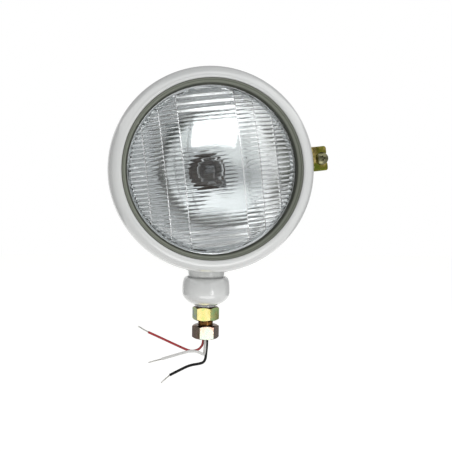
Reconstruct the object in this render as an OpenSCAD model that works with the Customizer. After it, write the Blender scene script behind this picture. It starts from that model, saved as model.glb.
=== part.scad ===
// Tractor headlight on a ball swivel, held by a hollow threaded stud.
// Millimetres. The stud stands on Z, the lamp shines along -Y, and the origin is where the
// stud meets the underside of the swivel nut, which is the face that a bracket bears on.

/* [Head] */
// Thickness of the pressed steel sheet of rim and bowl
sheet_t = 1.2; // [0.8:0.1:1.6]
// Depth of the bowl behind its bead
bowl_depth = 66; // [60:1:80]
// Turn of the lens pattern, clamp and hook about the lamp axis, in degrees
unit_turn = 7; // [0:1:12]
// Height of the bottom of the rim above the centre of the swivel ball
rim_rise = 1.9; // [1:0.1:6]

/* [Rim] */
// Radial width of the rubber that shows between the glass and the lip
rubber_w = 3.8; // [3:0.1:6]
// Radial width of the rounded nose of the rim
nose_w = 9; // [7:0.1:12]
// Depth of the rounded nose of the rim
nose_depth = 16.4; // [14:0.1:20]
// Radial width of the curl between the nose and the lip
curl_w = 1.8; // [1.4:0.1:3]
// Depth of the lip that turns back behind the curl
lip_depth = 3.4; // [2:0.1:5]
// Length of the straight skirt behind the nose
skirt_len = 10.4; // [9:0.1:14]
// Gap all round between the skirt and the bead of the bowl
skirt_gap = 0.8; // [0.6:0.1:1.4]
// Distance from the stud axis forward to the rear edge of the skirt
skirt_back = 19.6; // [18:0.1:26]
// Radius of the rolled bead on the edge of the bowl
bead_r = 2.2; // [1.8:0.1:2.6]
// Width of the tongue that hooks round the bead
hook_w = 12; // [8:1:16]
// Gap between the hook and the bead
hook_gap = 0.7; // [0.5:0.1:0.9]

/* [Lens] */
// Radius of the outer face of the domed glass
lens_dome_r = 160; // [140:5:200]
// Thickness of the glass
lens_t = 3.2; // [2.6:0.1:4]
// Radius of the glass that shows inside the rubber
glass_r = 64.4; // [58:0.1:72]
// Distance from the lip of the rim back to the edge of the glass
glass_sink = 11.8; // [10:0.1:13]
// Width of the middle band of the lens
band_w = 44; // [36:1:54]
// Width of one side column of the lens
column_w = 13.8; // [11:0.1:16]
// Spacing of the flutes in the side columns
flute_pitch = 3.4; // [3:0.1:6]
// Spacing of the prisms in the middle band
prism_pitch = 5.6; // [4:0.1:8]
// Height above the middle at which the prisms begin
prism_from = 44; // [36:1:52]
// Spacing of the fine flutes between the prisms
middle_pitch = 2.9; // [2.4:0.1:4]
// Depth of the fine flutes
middle_depth = 0.4; // [0.3:0.05:0.8]
// Depth of the flutes in the side columns
flute_depth = 0.8; // [0.4:0.1:1.2]
// Depth of the prisms
prism_depth = 0.9; // [0.4:0.1:1.2]
// Height of their valleys above the inner face of the glass
flute_rise = 0.3; // [0.2:0.05:0.6]
// Width of the plain rib on each side of the middle band
rib_w = 1.2; // [1:0.1:2]

/* [Reflector and bulb] */
// Focal length of the reflector
focal = 26; // [24:0.5:30]
// Thickness of the reflector
reflector_t = 0.8; // [0.6:0.1:1]
// Radius of the bulb hole in the reflector
bulb_hole_r = 13.5; // [12.5:0.1:14.5]
// Length of the collar behind the bulb hole
collar_len = 6; // [5:0.5:7]
// Radius of the bulb's globe
globe_r = 10.5; // [9:0.1:11.5]
// Radius of the bulb's brass cap
cap_r = 7.5; // [7:0.1:8]
// Depth of the bulb holder behind the reflector
holder_depth = 12; // [11:0.5:13]

/* [Clamp] */
// Distance from the side of the rim out to the clamp screw
clamp_out = 10.2; // [8:0.1:12]
// Width of the forked tab
tab_w = 19.4; // [17:0.1:22]
// Distance from the clamp screw out to the end of the tab
tab_end = 4.2; // [3.6:0.1:6]
// Width of the open slot of the fork
fork_w = 6; // [5.8:0.1:7]
// Thickness of the tab and the lug
tab_t = 1.5; // [1.2:0.1:2]
// Width of the lug on the bowl
lug_w = 16; // [14:1:18]
// Space between the tab and the lug
clamp_gap = 4.5; // [3:0.1:4.6]
// Diameter of the clamp screw
screw_d = 5; // [4.5:0.1:5.2]
// Diameter of the head of the clamp screw
screw_head_d = 9.8; // [9:0.1:10.4]
// Gap round the screw in the lug and its nut, which lets it swing clear
screw_gap = 0.55; // [0.45:0.05:0.7]

/* [Swivel] */
// Diameter of the neck and of the ball surface below it
neck_d = 29.7; // [28:0.1:31]
// Wall of the neck
neck_wall = 2; // [1.8:0.1:2.4]
// Tilt of the swivel each way, in degrees
swivel_tilt = 12; // [8:1:12]
// Depth of the mouth of the cup below the centre of the ball
mouth_drop = 4.6; // [4.6:0.1:5.4]
// Largest diameter of the swivel cup
cup_d = 38.6; // [38:0.1:46]
// Height of the swivel cup
cup_h = 23.8; // [23:0.1:28]
// Thickness of the seat ring between ball and cup
seat_t = 0.8; // [0.5:0.1:1]
// Gap on each side of the seat ring
seat_gap = 0.25; // [0.2:0.05:0.3]
// Play between the ball and the ball washer inside it
ball_play = 0.05; // [0.03:0.01:0.1]

/* [Stud and nuts] */
// Diameter of the stud
stud_d = 12; // [11:0.5:13]
// Diameter of the bore of the stud, which the leads pass through
stud_bore_d = 6; // [6:0.1:6.6]
// Width across the flats of the nuts
nut_af = 19; // [18:0.5:22]
// Turn of the swivel nut away from having a flat to the front, in degrees
nut_turn = 15; // [0:1:30]
// Height of the nuts
nut_h = 10.8; // [9:0.1:12]
// Thickness of the bracket that the two nuts grip
bracket_t = 4; // [3:0.5:8]
// Length of the stud that stands out below the mounting nut
stud_end = 0.8; // [0.6:0.1:6]
// Pitch of the thread
thread_pitch = 1.75; // [1.25:0.25:2]
// Play between a nut and the stud
nut_play = 0.06; // [0.03:0.01:0.1]

/* [Leads] */
// Diameter of the red lead
red_d = 1.9; // [1.6:0.1:2]
// Diameter of the white lead
white_d = 2.1; // [1.6:0.1:2.2]
// Diameter of the black lead
black_d = 2.2; // [1.6:0.1:2.2]
// Diameter of the bare strands at the ends of the leads
core_d = 1.2; // [0.9:0.1:1.4]

/* [Hidden] */

// Colours
paint = "#D5D8D8";
yellow_zinc = "#C9B25A";
rubber_dark = "#35372F";
bright = "#E4E7EA";
brass = "#C9A64B";
fine = 96;
// How far a cut runs past a face
cut = 1;

// Stem, from the bracket face upwards
stud_r = stud_d / 2;
cup_mouth_z = nut_h + cup_h;
ball_z = cup_mouth_z + mouth_drop;
ball_r = neck_d / 2;
ball_in_r = ball_r - neck_wall;
washer_r = ball_in_r - ball_play;
full_tilt = acos(cos(swivel_tilt) * cos(swivel_tilt));
// The hole under the ball clears the tilted stud, and the washer covers that hole at full tilt
ball_hole_r = ball_r * tan(full_tilt) + stud_r / cos(full_tilt) + 0.25;
hole_angle = asin(ball_hole_r / ball_r);
washer_angle = hole_angle + full_tilt + 1.5;
washer_top_z = ball_z - washer_r * cos(washer_angle);
flange_t = 2.4;
flange_r = stud_r + 3;
stud_top_z = washer_top_z + flange_t;
seat_in_r = ball_r + seat_gap;
seat_out_r = seat_in_r + seat_t;
cup_seat_r = seat_out_r + seat_gap;
stud_bottom_z = -bracket_t - nut_h - stud_end;
// The thread runs this far into the plain length that carries the bracket
land_inset = 0.45;

// Head, measured along Y from the stud axis and out from the lamp axis
rim_r = glass_r + rubber_w + curl_w + nose_w;
clamp_r = rim_r + clamp_out;
axis_z = ball_z + rim_rise + rim_r;
skirt_y = -skirt_back;
nose_y = skirt_y - skirt_len;
front_y = nose_y - nose_depth;
nose_r = rim_r - nose_w;
lip_r = nose_r - curl_w;
skirt_in_r = rim_r - sheet_t;
bead_c = skirt_in_r - skirt_gap - bead_r;
bead_y = skirt_y - bead_r + 0.2;
bowl_r = bead_c - bead_r + sheet_t;
bowl_y = bead_y + bead_r;
lens_edge_y = front_y + glass_sink;
lens_step = 0.3;
rib_rise = 0.2;
lens_centre_y = lens_edge_y - lens_step + sqrt(pow(lens_dome_r, 2) - pow(glass_r, 2));
lens_in_r = lens_dome_r - lens_t;
glass_flange_t = 3;
flange_w = 4.7;
flange_out_r = glass_r + flange_w;
reflector_y = lens_edge_y + glass_flange_t + 0.1;
reflector_r = glass_r - 0.8;
apex_y = reflector_y + pow(reflector_r, 2) / (4 * focal);
hole_y = apex_y - pow(bulb_hole_r, 2) / (4 * focal);
collar_y = hole_y + collar_len;
holder_lap = 4;
holder_y = collar_y - holder_lap;
holder_back_y = collar_y + holder_depth;
disc_y = holder_back_y - 3;
tag_y = holder_back_y;
focus_y = apex_y - focal;

// Clamp, with the tab on the skirt and the lug on the bowl behind it
tab_y = skirt_y - tab_t - 0.4;
lug_y = tab_y + tab_t + clamp_gap;
nut5_af = 8;
nut5_h = 4;
screw_r = screw_d / 2;
screw_end_y = lug_y + tab_t + nut5_h + 1;
rivet_r = 1.5;

// Places of the leads in the bore: red, white, black
lead_r = [red_d / 2, white_d / 2, black_d / 2];
lead_at = [[-1.7, 0.9], [-0.3, -1.5], [1.5, 0.6]];
lead_colours = ["#B01A22", "#E9E9E6", "#17181A"];
lead_gap = 0.7;

// Free routes of the three leads below the stud, end to end
red_route = [
    [-1.7, 0.9, stud_bottom_z], [-1.7, 0.9, stud_bottom_z - 4], [-3.2, 2, -23.2], [-6.6, 2.6, -25.4],
    [-11, 1.6, -25.6], [-16, 0.4, -23.8], [-24, 0, -20.2], [-35, 0, -15.2], [-45.8, 0, -10.3]
];
white_route = [
    [-0.3, -1.5, stud_bottom_z], [-0.3, -1.5, stud_bottom_z - 5], [-0.6, -1.6, -25],
    [-2.6, -1.8, -28.2], [-6.4, -1.6, -28], [-11, -1, -27], [-17, -0.4, -27.8],
    [-24, 0, -29.5], [-33.8, 0, -32.5]
];
black_route = [
    [1.5, 0.6, stud_bottom_z], [1.5, 0.6, stud_bottom_z - 8], [1.2, 0.4, -30.5],
    [-0.8, 0, -34.4], [-4.8, -0.2, -35.6], [-9.4, -0.2, -36.2], [-14, 0, -37.8],
    [-19, 0, -40.4], [-27.6, 0, -45.2]
];
core_ends = [[-54.1, 0, -5.7], [-44.6, 0, -35.3], [-34.5, 0, -51.3]];

// Routes of the leads inside the head, from the ball up to the terminal tags
tag_at = [[-7, -3], [0, -8], [7, -3]];
tag_w = 5;
tag_low = 5;

function arc_points(centre, size, from, to, count) = [
    for (i = [0:count]) let (a = from + (to - from) * i / count)
        centre + [size[0] * cos(a), size[1] * sin(a)]
];

function head_route(i) = let (low = axis_z + tag_at[i][1] - tag_low - 0.3, at = lead_at[i]) [
    [at[0], at[1], ball_z + lead_gap],
    [at[0], at[1], ball_z + 8],
    [at[0] * 1.4, at[1] + 1.5, ball_z + 20],
    [at[0] * 1.8, tag_y * 0.35 + at[1], ball_z + 33],
    [tag_at[i][0] * 0.7, tag_y * 0.7 + at[1], low - 22],
    [tag_at[i][0], tag_y - 1.5, low - 12],
    [tag_at[i][0], tag_y + 2, low - 5],
    [tag_at[i][0], tag_y + 2.4, low]
];

// A smooth curve through a list of points, with a few steps for each stretch
function curve_point(p, i, t) = let (
    n = len(p) - 1,
    a = p[max(i - 1, 0)], b = p[i], c = p[min(i + 1, n)], d = p[min(i + 2, n)]
) 0.5 * ((2 * b) + (c - a) * t + (2 * a - 5 * b + 4 * c - d) * t * t + (3 * b - a - 3 * c + d) * t * t * t);

function curve(p, steps) = concat(
    [for (i = [0:len(p) - 2], s = [0:steps - 1]) curve_point(p, i, s / steps)],
    [p[len(p) - 1]]
);

function unit(v) = v / norm(v);

// A tube swept along points, as one closed polyhedron whose end faces stand square to start and end
module tube(points, r, sides = 8, start = undef, end = undef) {
    n = len(points);
    heading = [for (i = [0:n - 1])
        i == 0 ? (is_undef(start) ? unit(points[1] - points[0]) : start) :
        i == n - 1 ? (is_undef(end) ? unit(points[i] - points[i - 1]) : end) :
        unit(points[i + 1] - points[i - 1])];
    rings = [for (i = [0:n - 1]) let (
        h = heading[i],
        u = unit(cross(h, [0, 1, 0.13])),
        v = cross(h, u)
    ) for (k = [0:sides - 1]) points[i] + r * (cos(360 * k / sides) * u + sin(360 * k / sides) * v)];
    walls = [for (i = [0:n - 2], k = [0:sides - 1]) let (
        a = i * sides + k, b = i * sides + (k + 1) % sides
    ) [a, a + sides, b + sides, b]];
    caps = [[for (k = [0:sides - 1]) k], [for (k = [sides - 1:-1:0]) (n - 1) * sides + k]];
    polyhedron(rings, concat(walls, caps));
}

// Turns an outline of radius and depth round the lamp axis
module round_lamp() {
    translate([0, 0, axis_z]) rotate([-90, 0, 0]) rotate_extrude($fn = fine) children();
}

// Places what follows the turn of the lens, clamp and hook
module turned() {
    translate([0, 0, axis_z]) rotate([0, -unit_turn, 0]) translate([0, 0, -axis_z]) children();
}

// A round bar along the lamp's direction
module bar_y(r, y0, y1, facets = 48) {
    translate([0, y0, 0]) rotate([-90, 0, 0]) cylinder(r = r, h = y1 - y0, $fn = facets);
}

// Stem

// A threaded length from z0 to z1: ring grooves leave narrow crests of the full diameter
module thread_grooves(z0, z1) {
    depth = 0.55;
    crest = thread_pitch / 4;
    way = sign(z1 - z0);
    count = floor(abs(z1 - z0) / thread_pitch);
    for (i = [0:count - 1]) translate([0, 0, z0 + way * thread_pitch * (i + 0.5) - thread_pitch / 2])
        rotate_extrude($fn = fine)
        polygon([
            [stud_r + 0.5, crest / 2 - 0.3], [stud_r, crest / 2], [stud_r - depth, thread_pitch / 2],
            [stud_r, thread_pitch - crest / 2], [stud_r + 0.5, thread_pitch - crest / 2 + 0.3]
        ]);
}

module hollow_stud() {
    color(yellow_zinc) difference() {
        union() {
            translate([0, 0, stud_bottom_z])
                cylinder(r = stud_r, h = stud_top_z - stud_bottom_z, $fn = fine);
            translate([0, 0, washer_top_z]) cylinder(r = flange_r, h = flange_t, $fn = fine);
        }
        translate([0, 0, stud_bottom_z - 1])
            cylinder(d = stud_bore_d, h = stud_top_z - stud_bottom_z + 2, $fn = fine);
        thread_grooves(-bracket_t + land_inset, stud_bottom_z);
        thread_grooves(-land_inset, nut_h + 2);
    }
}

module ball_washer() {
    color(yellow_zinc) difference() {
        translate([0, 0, ball_z]) sphere(r = washer_r, $fn = fine);
        translate([0, 0, washer_top_z + washer_r]) cube(2 * washer_r, center = true);
        translate([0, 0, ball_z - washer_r - 1])
            cylinder(r = stud_r + nut_play, h = 2 * washer_r, $fn = fine);
    }
}

// A chamfered hexagon nut standing on z = 0, with one flat to the front
module hex_nut(af, h, bore_r) {
    corner = af / sqrt(3);
    face_r = af / 2 - 0.45;
    slope = tan(30);
    chamfer = (corner + 0.5 - face_r) * slope;
    difference() {
        intersection() {
            rotate(30) rotate([0, 0, 30]) cylinder(r = corner, h = h, $fn = 6);
            rotate(10) rotate_extrude($fn = fine) polygon([
                [0, 0], [face_r, 0], [face_r + chamfer / slope, chamfer],
                [face_r + chamfer / slope, h - chamfer], [face_r, h], [0, h]
            ]);
        }
        translate([0, 0, -1]) cylinder(r = bore_r, h = h + 2, $fn = fine);
    }
}

module swivel_nut() {
    color(yellow_zinc) rotate(-nut_turn) hex_nut(nut_af, nut_h, stud_r + nut_play);
}

module mounting_nut() {
    color(yellow_zinc) translate([0, 0, -bracket_t - nut_h]) hex_nut(nut_af, nut_h, stud_r + nut_play);
}

// The cup is a squat barrel whose mouth closes in on the neck
module swivel_cup() {
    cup_r = cup_d / 2;
    foot_r = stud_r + 1.6;
    mouth_r = sqrt(pow(cup_seat_r, 2) - pow(mouth_drop, 2));
    shoulder = cup_h * 0.42;
    belly = cup_h * 0.5;
    color(paint) translate([0, 0, nut_h]) difference() {
        rotate_extrude($fn = fine) polygon(concat(
            [[0, 0], [foot_r, 0]],
            arc_points([0, belly], [cup_r, -belly], acos(foot_r / cup_r), 0, 16),
            arc_points([mouth_r + 0.6, cup_h - shoulder], [cup_r - mouth_r - 0.6, shoulder], 0, 84, 12),
            [[mouth_r + 0.4, cup_h], [0, cup_h]]
        ));
        translate([0, 0, ball_z - nut_h]) sphere(r = cup_seat_r, $fn = fine);
        translate([0, 0, -1]) cylinder(r = stud_r + 0.3, h = cup_h + 2, $fn = fine);
        translate([0, 0, -0.01]) cylinder(r1 = stud_r + 1.2, r2 = stud_r + 0.3, h = 0.9, $fn = fine);
    }
}

// A thin ring of fibre between the ball and its seat in the cup
module seat_ring() {
    low = hole_angle + 3;
    high = 64;
    color("#4A4238") translate([0, 0, ball_z]) rotate_extrude($fn = fine) polygon(concat(
        [for (i = [0:10]) let (a = low + (high - low) * i / 10) seat_out_r * [sin(a), -cos(a)]],
        [for (i = [10:-1:0]) let (a = low + (high - low) * i / 10) seat_in_r * [sin(a), -cos(a)]]
    ));
}

module stud_leads() {
    for (i = [0:2]) color(lead_colours[i]) translate([lead_at[i][0], lead_at[i][1], stud_bottom_z])
        cylinder(r = lead_r[i], h = ball_z - lead_gap - stud_bottom_z, $fn = 32);
}

// Free leads

function core_way(i, route) = unit(core_ends[i] - route[len(route) - 1]);

module free_lead(i, route) {
    color(lead_colours[i]) tube(curve(route, 2), lead_r[i], 8, [0, 0, -1], core_way(i, route));
}

module red_lead() { free_lead(0, red_route); }
module white_lead() { free_lead(1, white_route); }
module black_lead() { free_lead(2, black_route); }

module lead_cores() {
    routes = [red_route, white_route, black_route];
    for (i = [0:2]) let (from = routes[i][len(routes[i]) - 1])
        color("#B87B4A") tube([from, (from + core_ends[i]) / 2, core_ends[i]], core_d / 2, 8);
}

// Bowl

// The bowl's outline as a filled solid, drawn in by a wall
module bowl_solid(wall) {
    round_lamp() polygon(concat(
        [[0, bead_y], [bowl_r - wall, bead_y], [bowl_r - wall, bowl_y]],
        arc_points([0, bowl_y], [bowl_r - wall, bowl_depth - wall], 0, 90, 24)
    ));
}

module bowl() {
    slot_w = hook_w + 2;
    slot_y = bead_y + bead_r + 4.2;
    bowl_low = bowl_r * sqrt(1 - pow((ball_r - bowl_y) / bowl_depth, 2));
    neck_len = axis_z - ball_z - bowl_low + ball_r / 2;
    color(paint) union() {
        difference() {
            union() {
                bowl_solid(0);
                translate([0, 0, ball_z]) cylinder(r = ball_r, h = neck_len, $fn = fine);
                translate([0, 0, ball_z]) sphere(r = ball_r, $fn = fine);
            }
            bowl_solid(sheet_t);
            translate([0, 0, axis_z]) bar_y(rim_r, bead_y - neck_len, bead_y, fine);
            translate([0, 0, ball_z]) cylinder(r = ball_in_r, h = neck_len + cut, $fn = fine);
            translate([0, 0, ball_z]) sphere(r = ball_in_r, $fn = fine);
            translate([0, 0, ball_z - 2 * ball_r]) cylinder(r = ball_hole_r, h = 2 * ball_r, $fn = fine);
            turned() {
                translate([-bowl_r - 1, bead_y - 1, axis_z - slot_w / 2])
                    cube([sheet_t + 3, slot_y - bead_y, slot_w]);
                lug_rivet_holes();
            }
        }
        round_lamp() translate([bead_c, bead_y]) circle(r = bead_r, $fn = 48);
    }
}

function rivet_rows(w) = [-w / 2 + 3.6, w / 2 - 3.6];
function lug_rivet_y() = lug_y + tab_t + 5.2;
function lug_rivet_in() = bowl_r * cos(asin((lug_rivet_y() - bowl_y) / bowl_depth)) - sheet_t - 1.6;

module lug_rivet_holes() {
    from = lug_rivet_in() - cut;
    for (z = rivet_rows(lug_w)) translate([from, lug_rivet_y(), axis_z + z])
        rotate([0, 90, 0]) cylinder(r = rivet_r, h = bowl_r + tab_t + cut - from, $fn = 32);
}

// An angle bracket on the side of the bowl, with the hole for the clamp screw
module bowl_lug() {
    plate_r = clamp_r + 5.4;
    color(paint) difference() {
        turned() difference() {
            union() {
                translate([bowl_r - 6, lug_y, axis_z - lug_w / 2])
                    cube([plate_r - bowl_r + 6 - 3, tab_t, lug_w]);
                translate([bowl_r - 6, lug_y, axis_z - lug_w / 2 + 3])
                    cube([plate_r - bowl_r + 6, tab_t, lug_w - 6]);
                for (s = [-1, 1]) translate([plate_r - 3, lug_y, axis_z + s * (lug_w / 2 - 3)])
                    bar_y(3, 0, tab_t);
                translate([bowl_r - 6, lug_y, axis_z - lug_w / 2]) cube([6 + tab_t, tab_t + 9.5, lug_w]);
            }
            translate([clamp_r, lug_y - 1, axis_z]) bar_y(screw_r + screw_gap, 0, tab_t + 2);
            lug_rivet_holes();
        }
        bowl_solid(0);
    }
}

// Two rivets through the lug and the wall of the bowl
module lug_rivets() {
    inner = lug_rivet_in();
    color(paint) turned() for (z = rivet_rows(lug_w)) translate([0, lug_rivet_y(), axis_z + z])
        rotate([0, 90, 0]) {
            translate([0, 0, inner]) cylinder(r = rivet_r, h = bowl_r + tab_t - inner, $fn = 32);
            translate([0, 0, bowl_r + tab_t]) rivet_head();
            translate([0, 0, inner]) mirror([0, 0, 1]) rivet_head();
        }
}

module rivet_head() {
    head_r = rivet_r * 1.7;
    intersection() {
        cylinder(r = head_r, h = 1.2, $fn = 32);
        translate([0, 0, -1.7]) sphere(r = 3.05, $fn = 32);
    }
}

module captive_nut() {
    color(yellow_zinc) turned() translate([clamp_r, lug_y + tab_t, axis_z]) rotate([-90, 0, 0])
        hex_nut(nut5_af, nut5_h, screw_r + screw_gap);
}

module head_leads() {
    for (i = [0:2]) color(lead_colours[i])
        tube(curve(head_route(i), 2), lead_r[i], 8, [0, 0, 1], [0, 0, 1]);
}

// Light unit

// The rim's sheet: a rounded nose with a curled lip inside it and a straight skirt behind it
module rim() {
    inner = [nose_w - sheet_t, nose_depth - sheet_t];
    curl_back = front_y + 0.7;
    color(paint) union() {
        difference() {
            round_lamp() polygon(concat(
                [[lip_r, curl_back + lip_depth], [lip_r, curl_back + 0.6], [lip_r + 0.7, curl_back - 0.4]],
                arc_points([nose_r, nose_y], [nose_w, -nose_depth], 90, 0, 20),
                [[rim_r, skirt_y], [skirt_in_r, skirt_y]],
                arc_points([nose_r, nose_y], [inner[0], -inner[1]], 0, 84, 20),
                [[lip_r + sheet_t, curl_back + 1.3], [lip_r + sheet_t, curl_back + lip_depth]]
            ));
            turned() tab_rivet_holes();
        }
        turned() rim_hook();
    }
}

// The tongue curls from the skirt round the back of the bowl's bead
module rim_hook() {
    inner_r = bead_r + hook_gap;
    outer_r = inner_r + sheet_t;
    translate([-bead_c, bead_y, axis_z - hook_w / 2]) linear_extrude(hook_w) difference() {
        circle(r = outer_r, $fn = 48);
        circle(r = inner_r, $fn = 48);
        translate([-2 * outer_r, -2 * outer_r]) square([4 * outer_r, 2 * outer_r]);
        rotate(-20) square([2 * outer_r, 2 * outer_r]);
        rotate(70) mirror([0, 1]) square([2 * outer_r, 2 * outer_r]);
    }
}

function tab_leg() = tab_y + tab_t - skirt_len + 1;
function tab_rivet_y() = tab_y - 3.6;

// A forked angle bracket on the skirt, whose open slot takes the clamp screw
module rim_tab() {
    end_r = clamp_r + tab_end;
    corner = 2.2;
    straight_r = end_r - corner;
    lobe = (tab_w - fork_w) / 2;
    color(yellow_zinc) turned() difference() {
        union() {
            intersection() {
                translate([0, 0, axis_z]) difference() {
                    bar_y(rim_r + tab_t, tab_leg(), tab_y + tab_t);
                    bar_y(rim_r, tab_leg() - 1, tab_y + tab_t + 1);
                }
                translate([0, tab_leg(), axis_z - tab_w / 2])
                    cube([rim_r + 10, tab_y + tab_t - tab_leg(), tab_w]);
            }
            difference() {
                translate([0, tab_y, axis_z]) rotate([-90, 0, 0]) linear_extrude(tab_t) difference() {
                    union() {
                        translate([rim_r - 3, -tab_w / 2]) square([straight_r - rim_r + 3, tab_w]);
                        for (s = [-1, 1], u = [tab_w / 2 - corner, fork_w / 2 + corner])
                            translate([straight_r, s * u]) circle(r = corner, $fn = 32);
                        for (s = [-1, 1])
                            translate([straight_r - 0.01, s * (fork_w + lobe) / 2 - lobe / 2 + corner])
                                square([corner + 0.01, lobe - 2 * corner]);
                    }
                    translate([clamp_r, 0]) circle(d = fork_w, $fn = 48);
                    translate([clamp_r, -fork_w / 2]) square([end_r, fork_w]);
                }
                translate([0, 0, axis_z]) bar_y(rim_r, tab_y - 1, tab_y + tab_t + 1);
            }
        }
        tab_rivet_holes();
    }
}

module tab_rivet_holes() {
    for (z = rivet_rows(tab_w)) translate([skirt_in_r - cut, tab_rivet_y(), axis_z + z])
        rotate([0, 90, 0]) cylinder(r = rivet_r, h = sheet_t + tab_t + 2 * cut, $fn = 32);
}

// Two flush rivets that hold the tab on the skirt
module tab_rivets() {
    color(yellow_zinc) turned() for (z = rivet_rows(tab_w)) translate([0, tab_rivet_y(), axis_z + z])
        rotate([0, 90, 0]) {
            translate([0, 0, skirt_in_r]) cylinder(r = rivet_r, h = sheet_t + tab_t, $fn = 32);
            translate([0, 0, rim_r + tab_t]) rivet_head();
        }
}

// The rubber ring: a stepped cone from the lip down to the glass, and a channel round its edge
module gasket() {
    top_y = front_y + 1.5;
    steps = 5;
    run = [lip_r - 1.2 - glass_r, top_y - lens_edge_y + 0.6];
    color(rubber_dark) round_lamp() polygon(concat(
        [[glass_r, lens_edge_y]],
        [for (i = [0:steps - 1], k = [0, 1]) let (s = (i + (k == 0 ? 0 : 0.75)) / steps)
            [glass_r, lens_edge_y - 0.6] + [run[0] * s + (k == 0 ? 0.25 : 0), run[1] * s]],
        [
            [lip_r - 1.2, top_y], [lip_r, top_y], [lip_r, front_y + 0.7 + lip_depth],
            [flange_out_r + 2.6, front_y + 0.7 + lip_depth + 1.4],
            [flange_out_r + 2.6, lens_edge_y + glass_flange_t],
            [flange_out_r, lens_edge_y + glass_flange_t], [flange_out_r, lens_edge_y]
        ]
    ));
}

// Lens: a dome with a flat flange, and on its inner face columns of flutes beside a band of prisms

// Depth of a sphere about the dome's centre, at h from the middle, set against that centre
function dome_depth(r, h) = -sqrt(r * r - h * h);

// Crests and valleys from one height down to another, as depth and height on the dome's inner face
function ridges(from, to, pitch, depth, saw) = let (
    count = round((from - to) / pitch),
    step = (from - to) / count
) [for (i = [0:count - 1], k = [0, 1]) let (
    h = from - step * (i + (saw ? 0.9 : 0.5) * k),
    lift = flute_rise + (saw ? 1 - k : k) * depth
) [dome_depth(lens_in_r, h) + lift, h]];

// Each column is straight across, turned to face the middle of the dome, and laps over its neighbours
module column(x, w, top, section) {
    lap = 0.6;
    rotate([0, 0, asin(x / lens_in_r)]) translate([-w / 2 - lap, 0, 0]) rotate([90, 0, 90])
        linear_extrude(w + 2 * lap) polygon(concat(
            [for (i = [0:6]) let (h = -top + 2 * top * i / 6) [dome_depth(lens_dome_r - lens_t / 2, h), h]],
            section
        ));
}

module side_column(x) {
    reach = sqrt(pow(glass_r, 2) - pow(abs(x) - column_w / 2, 2));
    top = ceil(reach / flute_pitch) * flute_pitch;
    column(x, column_w, top, ridges(top, -top, flute_pitch, flute_depth, false));
}

// Prisms at the top and bottom of the band, and fine flutes between them
module middle_column(x) {
    top = prism_from + ceil((glass_r - prism_from) / prism_pitch) * prism_pitch;
    column(x, band_w / 3, top, concat(
        ridges(top, prism_from, prism_pitch, prism_depth, true),
        ridges(prism_from, -prism_from, middle_pitch, middle_depth, false),
        ridges(-prism_from, -top, prism_pitch, prism_depth, true)
    ));
}

module upright_slab(x, w) {
    translate([x - w / 2, -lens_dome_r, -glass_r - 1]) cube([w, lens_dome_r, 2 * glass_r + 2]);
}

module dome(r) {
    translate([0, lens_centre_y, axis_z]) sphere(r = r, $fn = 3 * fine);
}

module lens() {
    flange_back_y = lens_edge_y + glass_flange_t;
    deepest = flute_rise + max(flute_depth, prism_depth);
    color([0.85, 0.92, 0.94, 0.5]) turned() union() {
        difference() {
            intersection() {
                dome(lens_dome_r);
                translate([0, 0, axis_z]) bar_y(glass_r, front_y - 20, flange_back_y, fine);
            }
            dome(lens_in_r);
        }
        round_lamp() translate([glass_r - 0.4, lens_edge_y])
            square([flange_out_r - glass_r + 0.4, glass_flange_t]);
        intersection() {
            translate([0, lens_centre_y, axis_z]) {
                difference() {
                    for (s = [-1, 1], k = [0:2]) side_column(s * (band_w / 2 + (k + 0.5) * column_w));
                    upright_slab(0, band_w);
                }
                intersection() {
                    for (k = [-1:1]) middle_column(k * band_w / 3);
                    upright_slab(0, band_w);
                }
                for (s = [-1, 1]) difference() {
                    upright_slab(s * band_w / 2, rib_w);
                    sphere(r = lens_in_r - deepest - rib_rise, $fn = 3 * fine);
                }
            }
            dome(lens_dome_r - lens_t / 2);
            translate([0, 0, axis_z]) bar_y(glass_r - 2.4, front_y - 20, reflector_y, fine);
        }
    }
}

module reflector() {
    color(bright) round_lamp() polygon(concat(
        [[flange_out_r, reflector_y], [reflector_r + 0.01, reflector_y]],
        [for (i = [0:16]) let (r = reflector_r + (bulb_hole_r - reflector_r) * i / 16)
            [r, apex_y - r * r / (4 * focal)]],
        [[bulb_hole_r, collar_y], [bulb_hole_r + reflector_t, collar_y]],
        [for (i = [16:-1:0]) let (r = reflector_r + (bulb_hole_r + reflector_t - reflector_r) * i / 16)
            [r, apex_y - r * r / (4 * focal) + reflector_t * sqrt(1 + pow(r / (2 * focal), 2))]],
        [[reflector_r + 1.2, reflector_y + reflector_t], [flange_out_r, reflector_y + reflector_t]]
    ));
}

// Four spring clips that press the reflector and lens into the rim
module retaining_clips() {
    w = 8;
    back_y = reflector_y + reflector_t;
    side_r = skirt_in_r - 0.25;
    color(yellow_zinc) turned() for (a = [35, 145, 215, 325])
        translate([0, 0, axis_z]) rotate([0, a, 0]) translate([0, 0, -w / 2])
            linear_extrude(w) polygon([
                [flange_out_r - 3.4, back_y], [flange_out_r - 2, back_y],
                [flange_out_r - 0.6, back_y + 1.5], [side_r, back_y + 1.5], [side_r, back_y + 5.2],
                [side_r - 0.9, back_y + 5.2], [side_r - 0.9, back_y + 2.4], [flange_out_r - 1, back_y + 2.4]
            ]);
}

// Bulb

module bulb_glass() {
    wall = 0.7;
    neck_r = cap_r - 1.2;
    neck_a = asin(neck_r / globe_r);
    cap_front = focus_y + globe_r + 4;
    color([0.9, 0.94, 0.95, 0.4]) round_lamp() polygon(concat(
        arc_points([0, focus_y], [globe_r, -globe_r], 90, -90 + neck_a, 24),
        [[neck_r, cap_front], [neck_r - wall, cap_front]],
        arc_points([0, focus_y], [globe_r - wall, -(globe_r - wall)], -90 + neck_a * 0.9, 90, 24)
    ));
}

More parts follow.
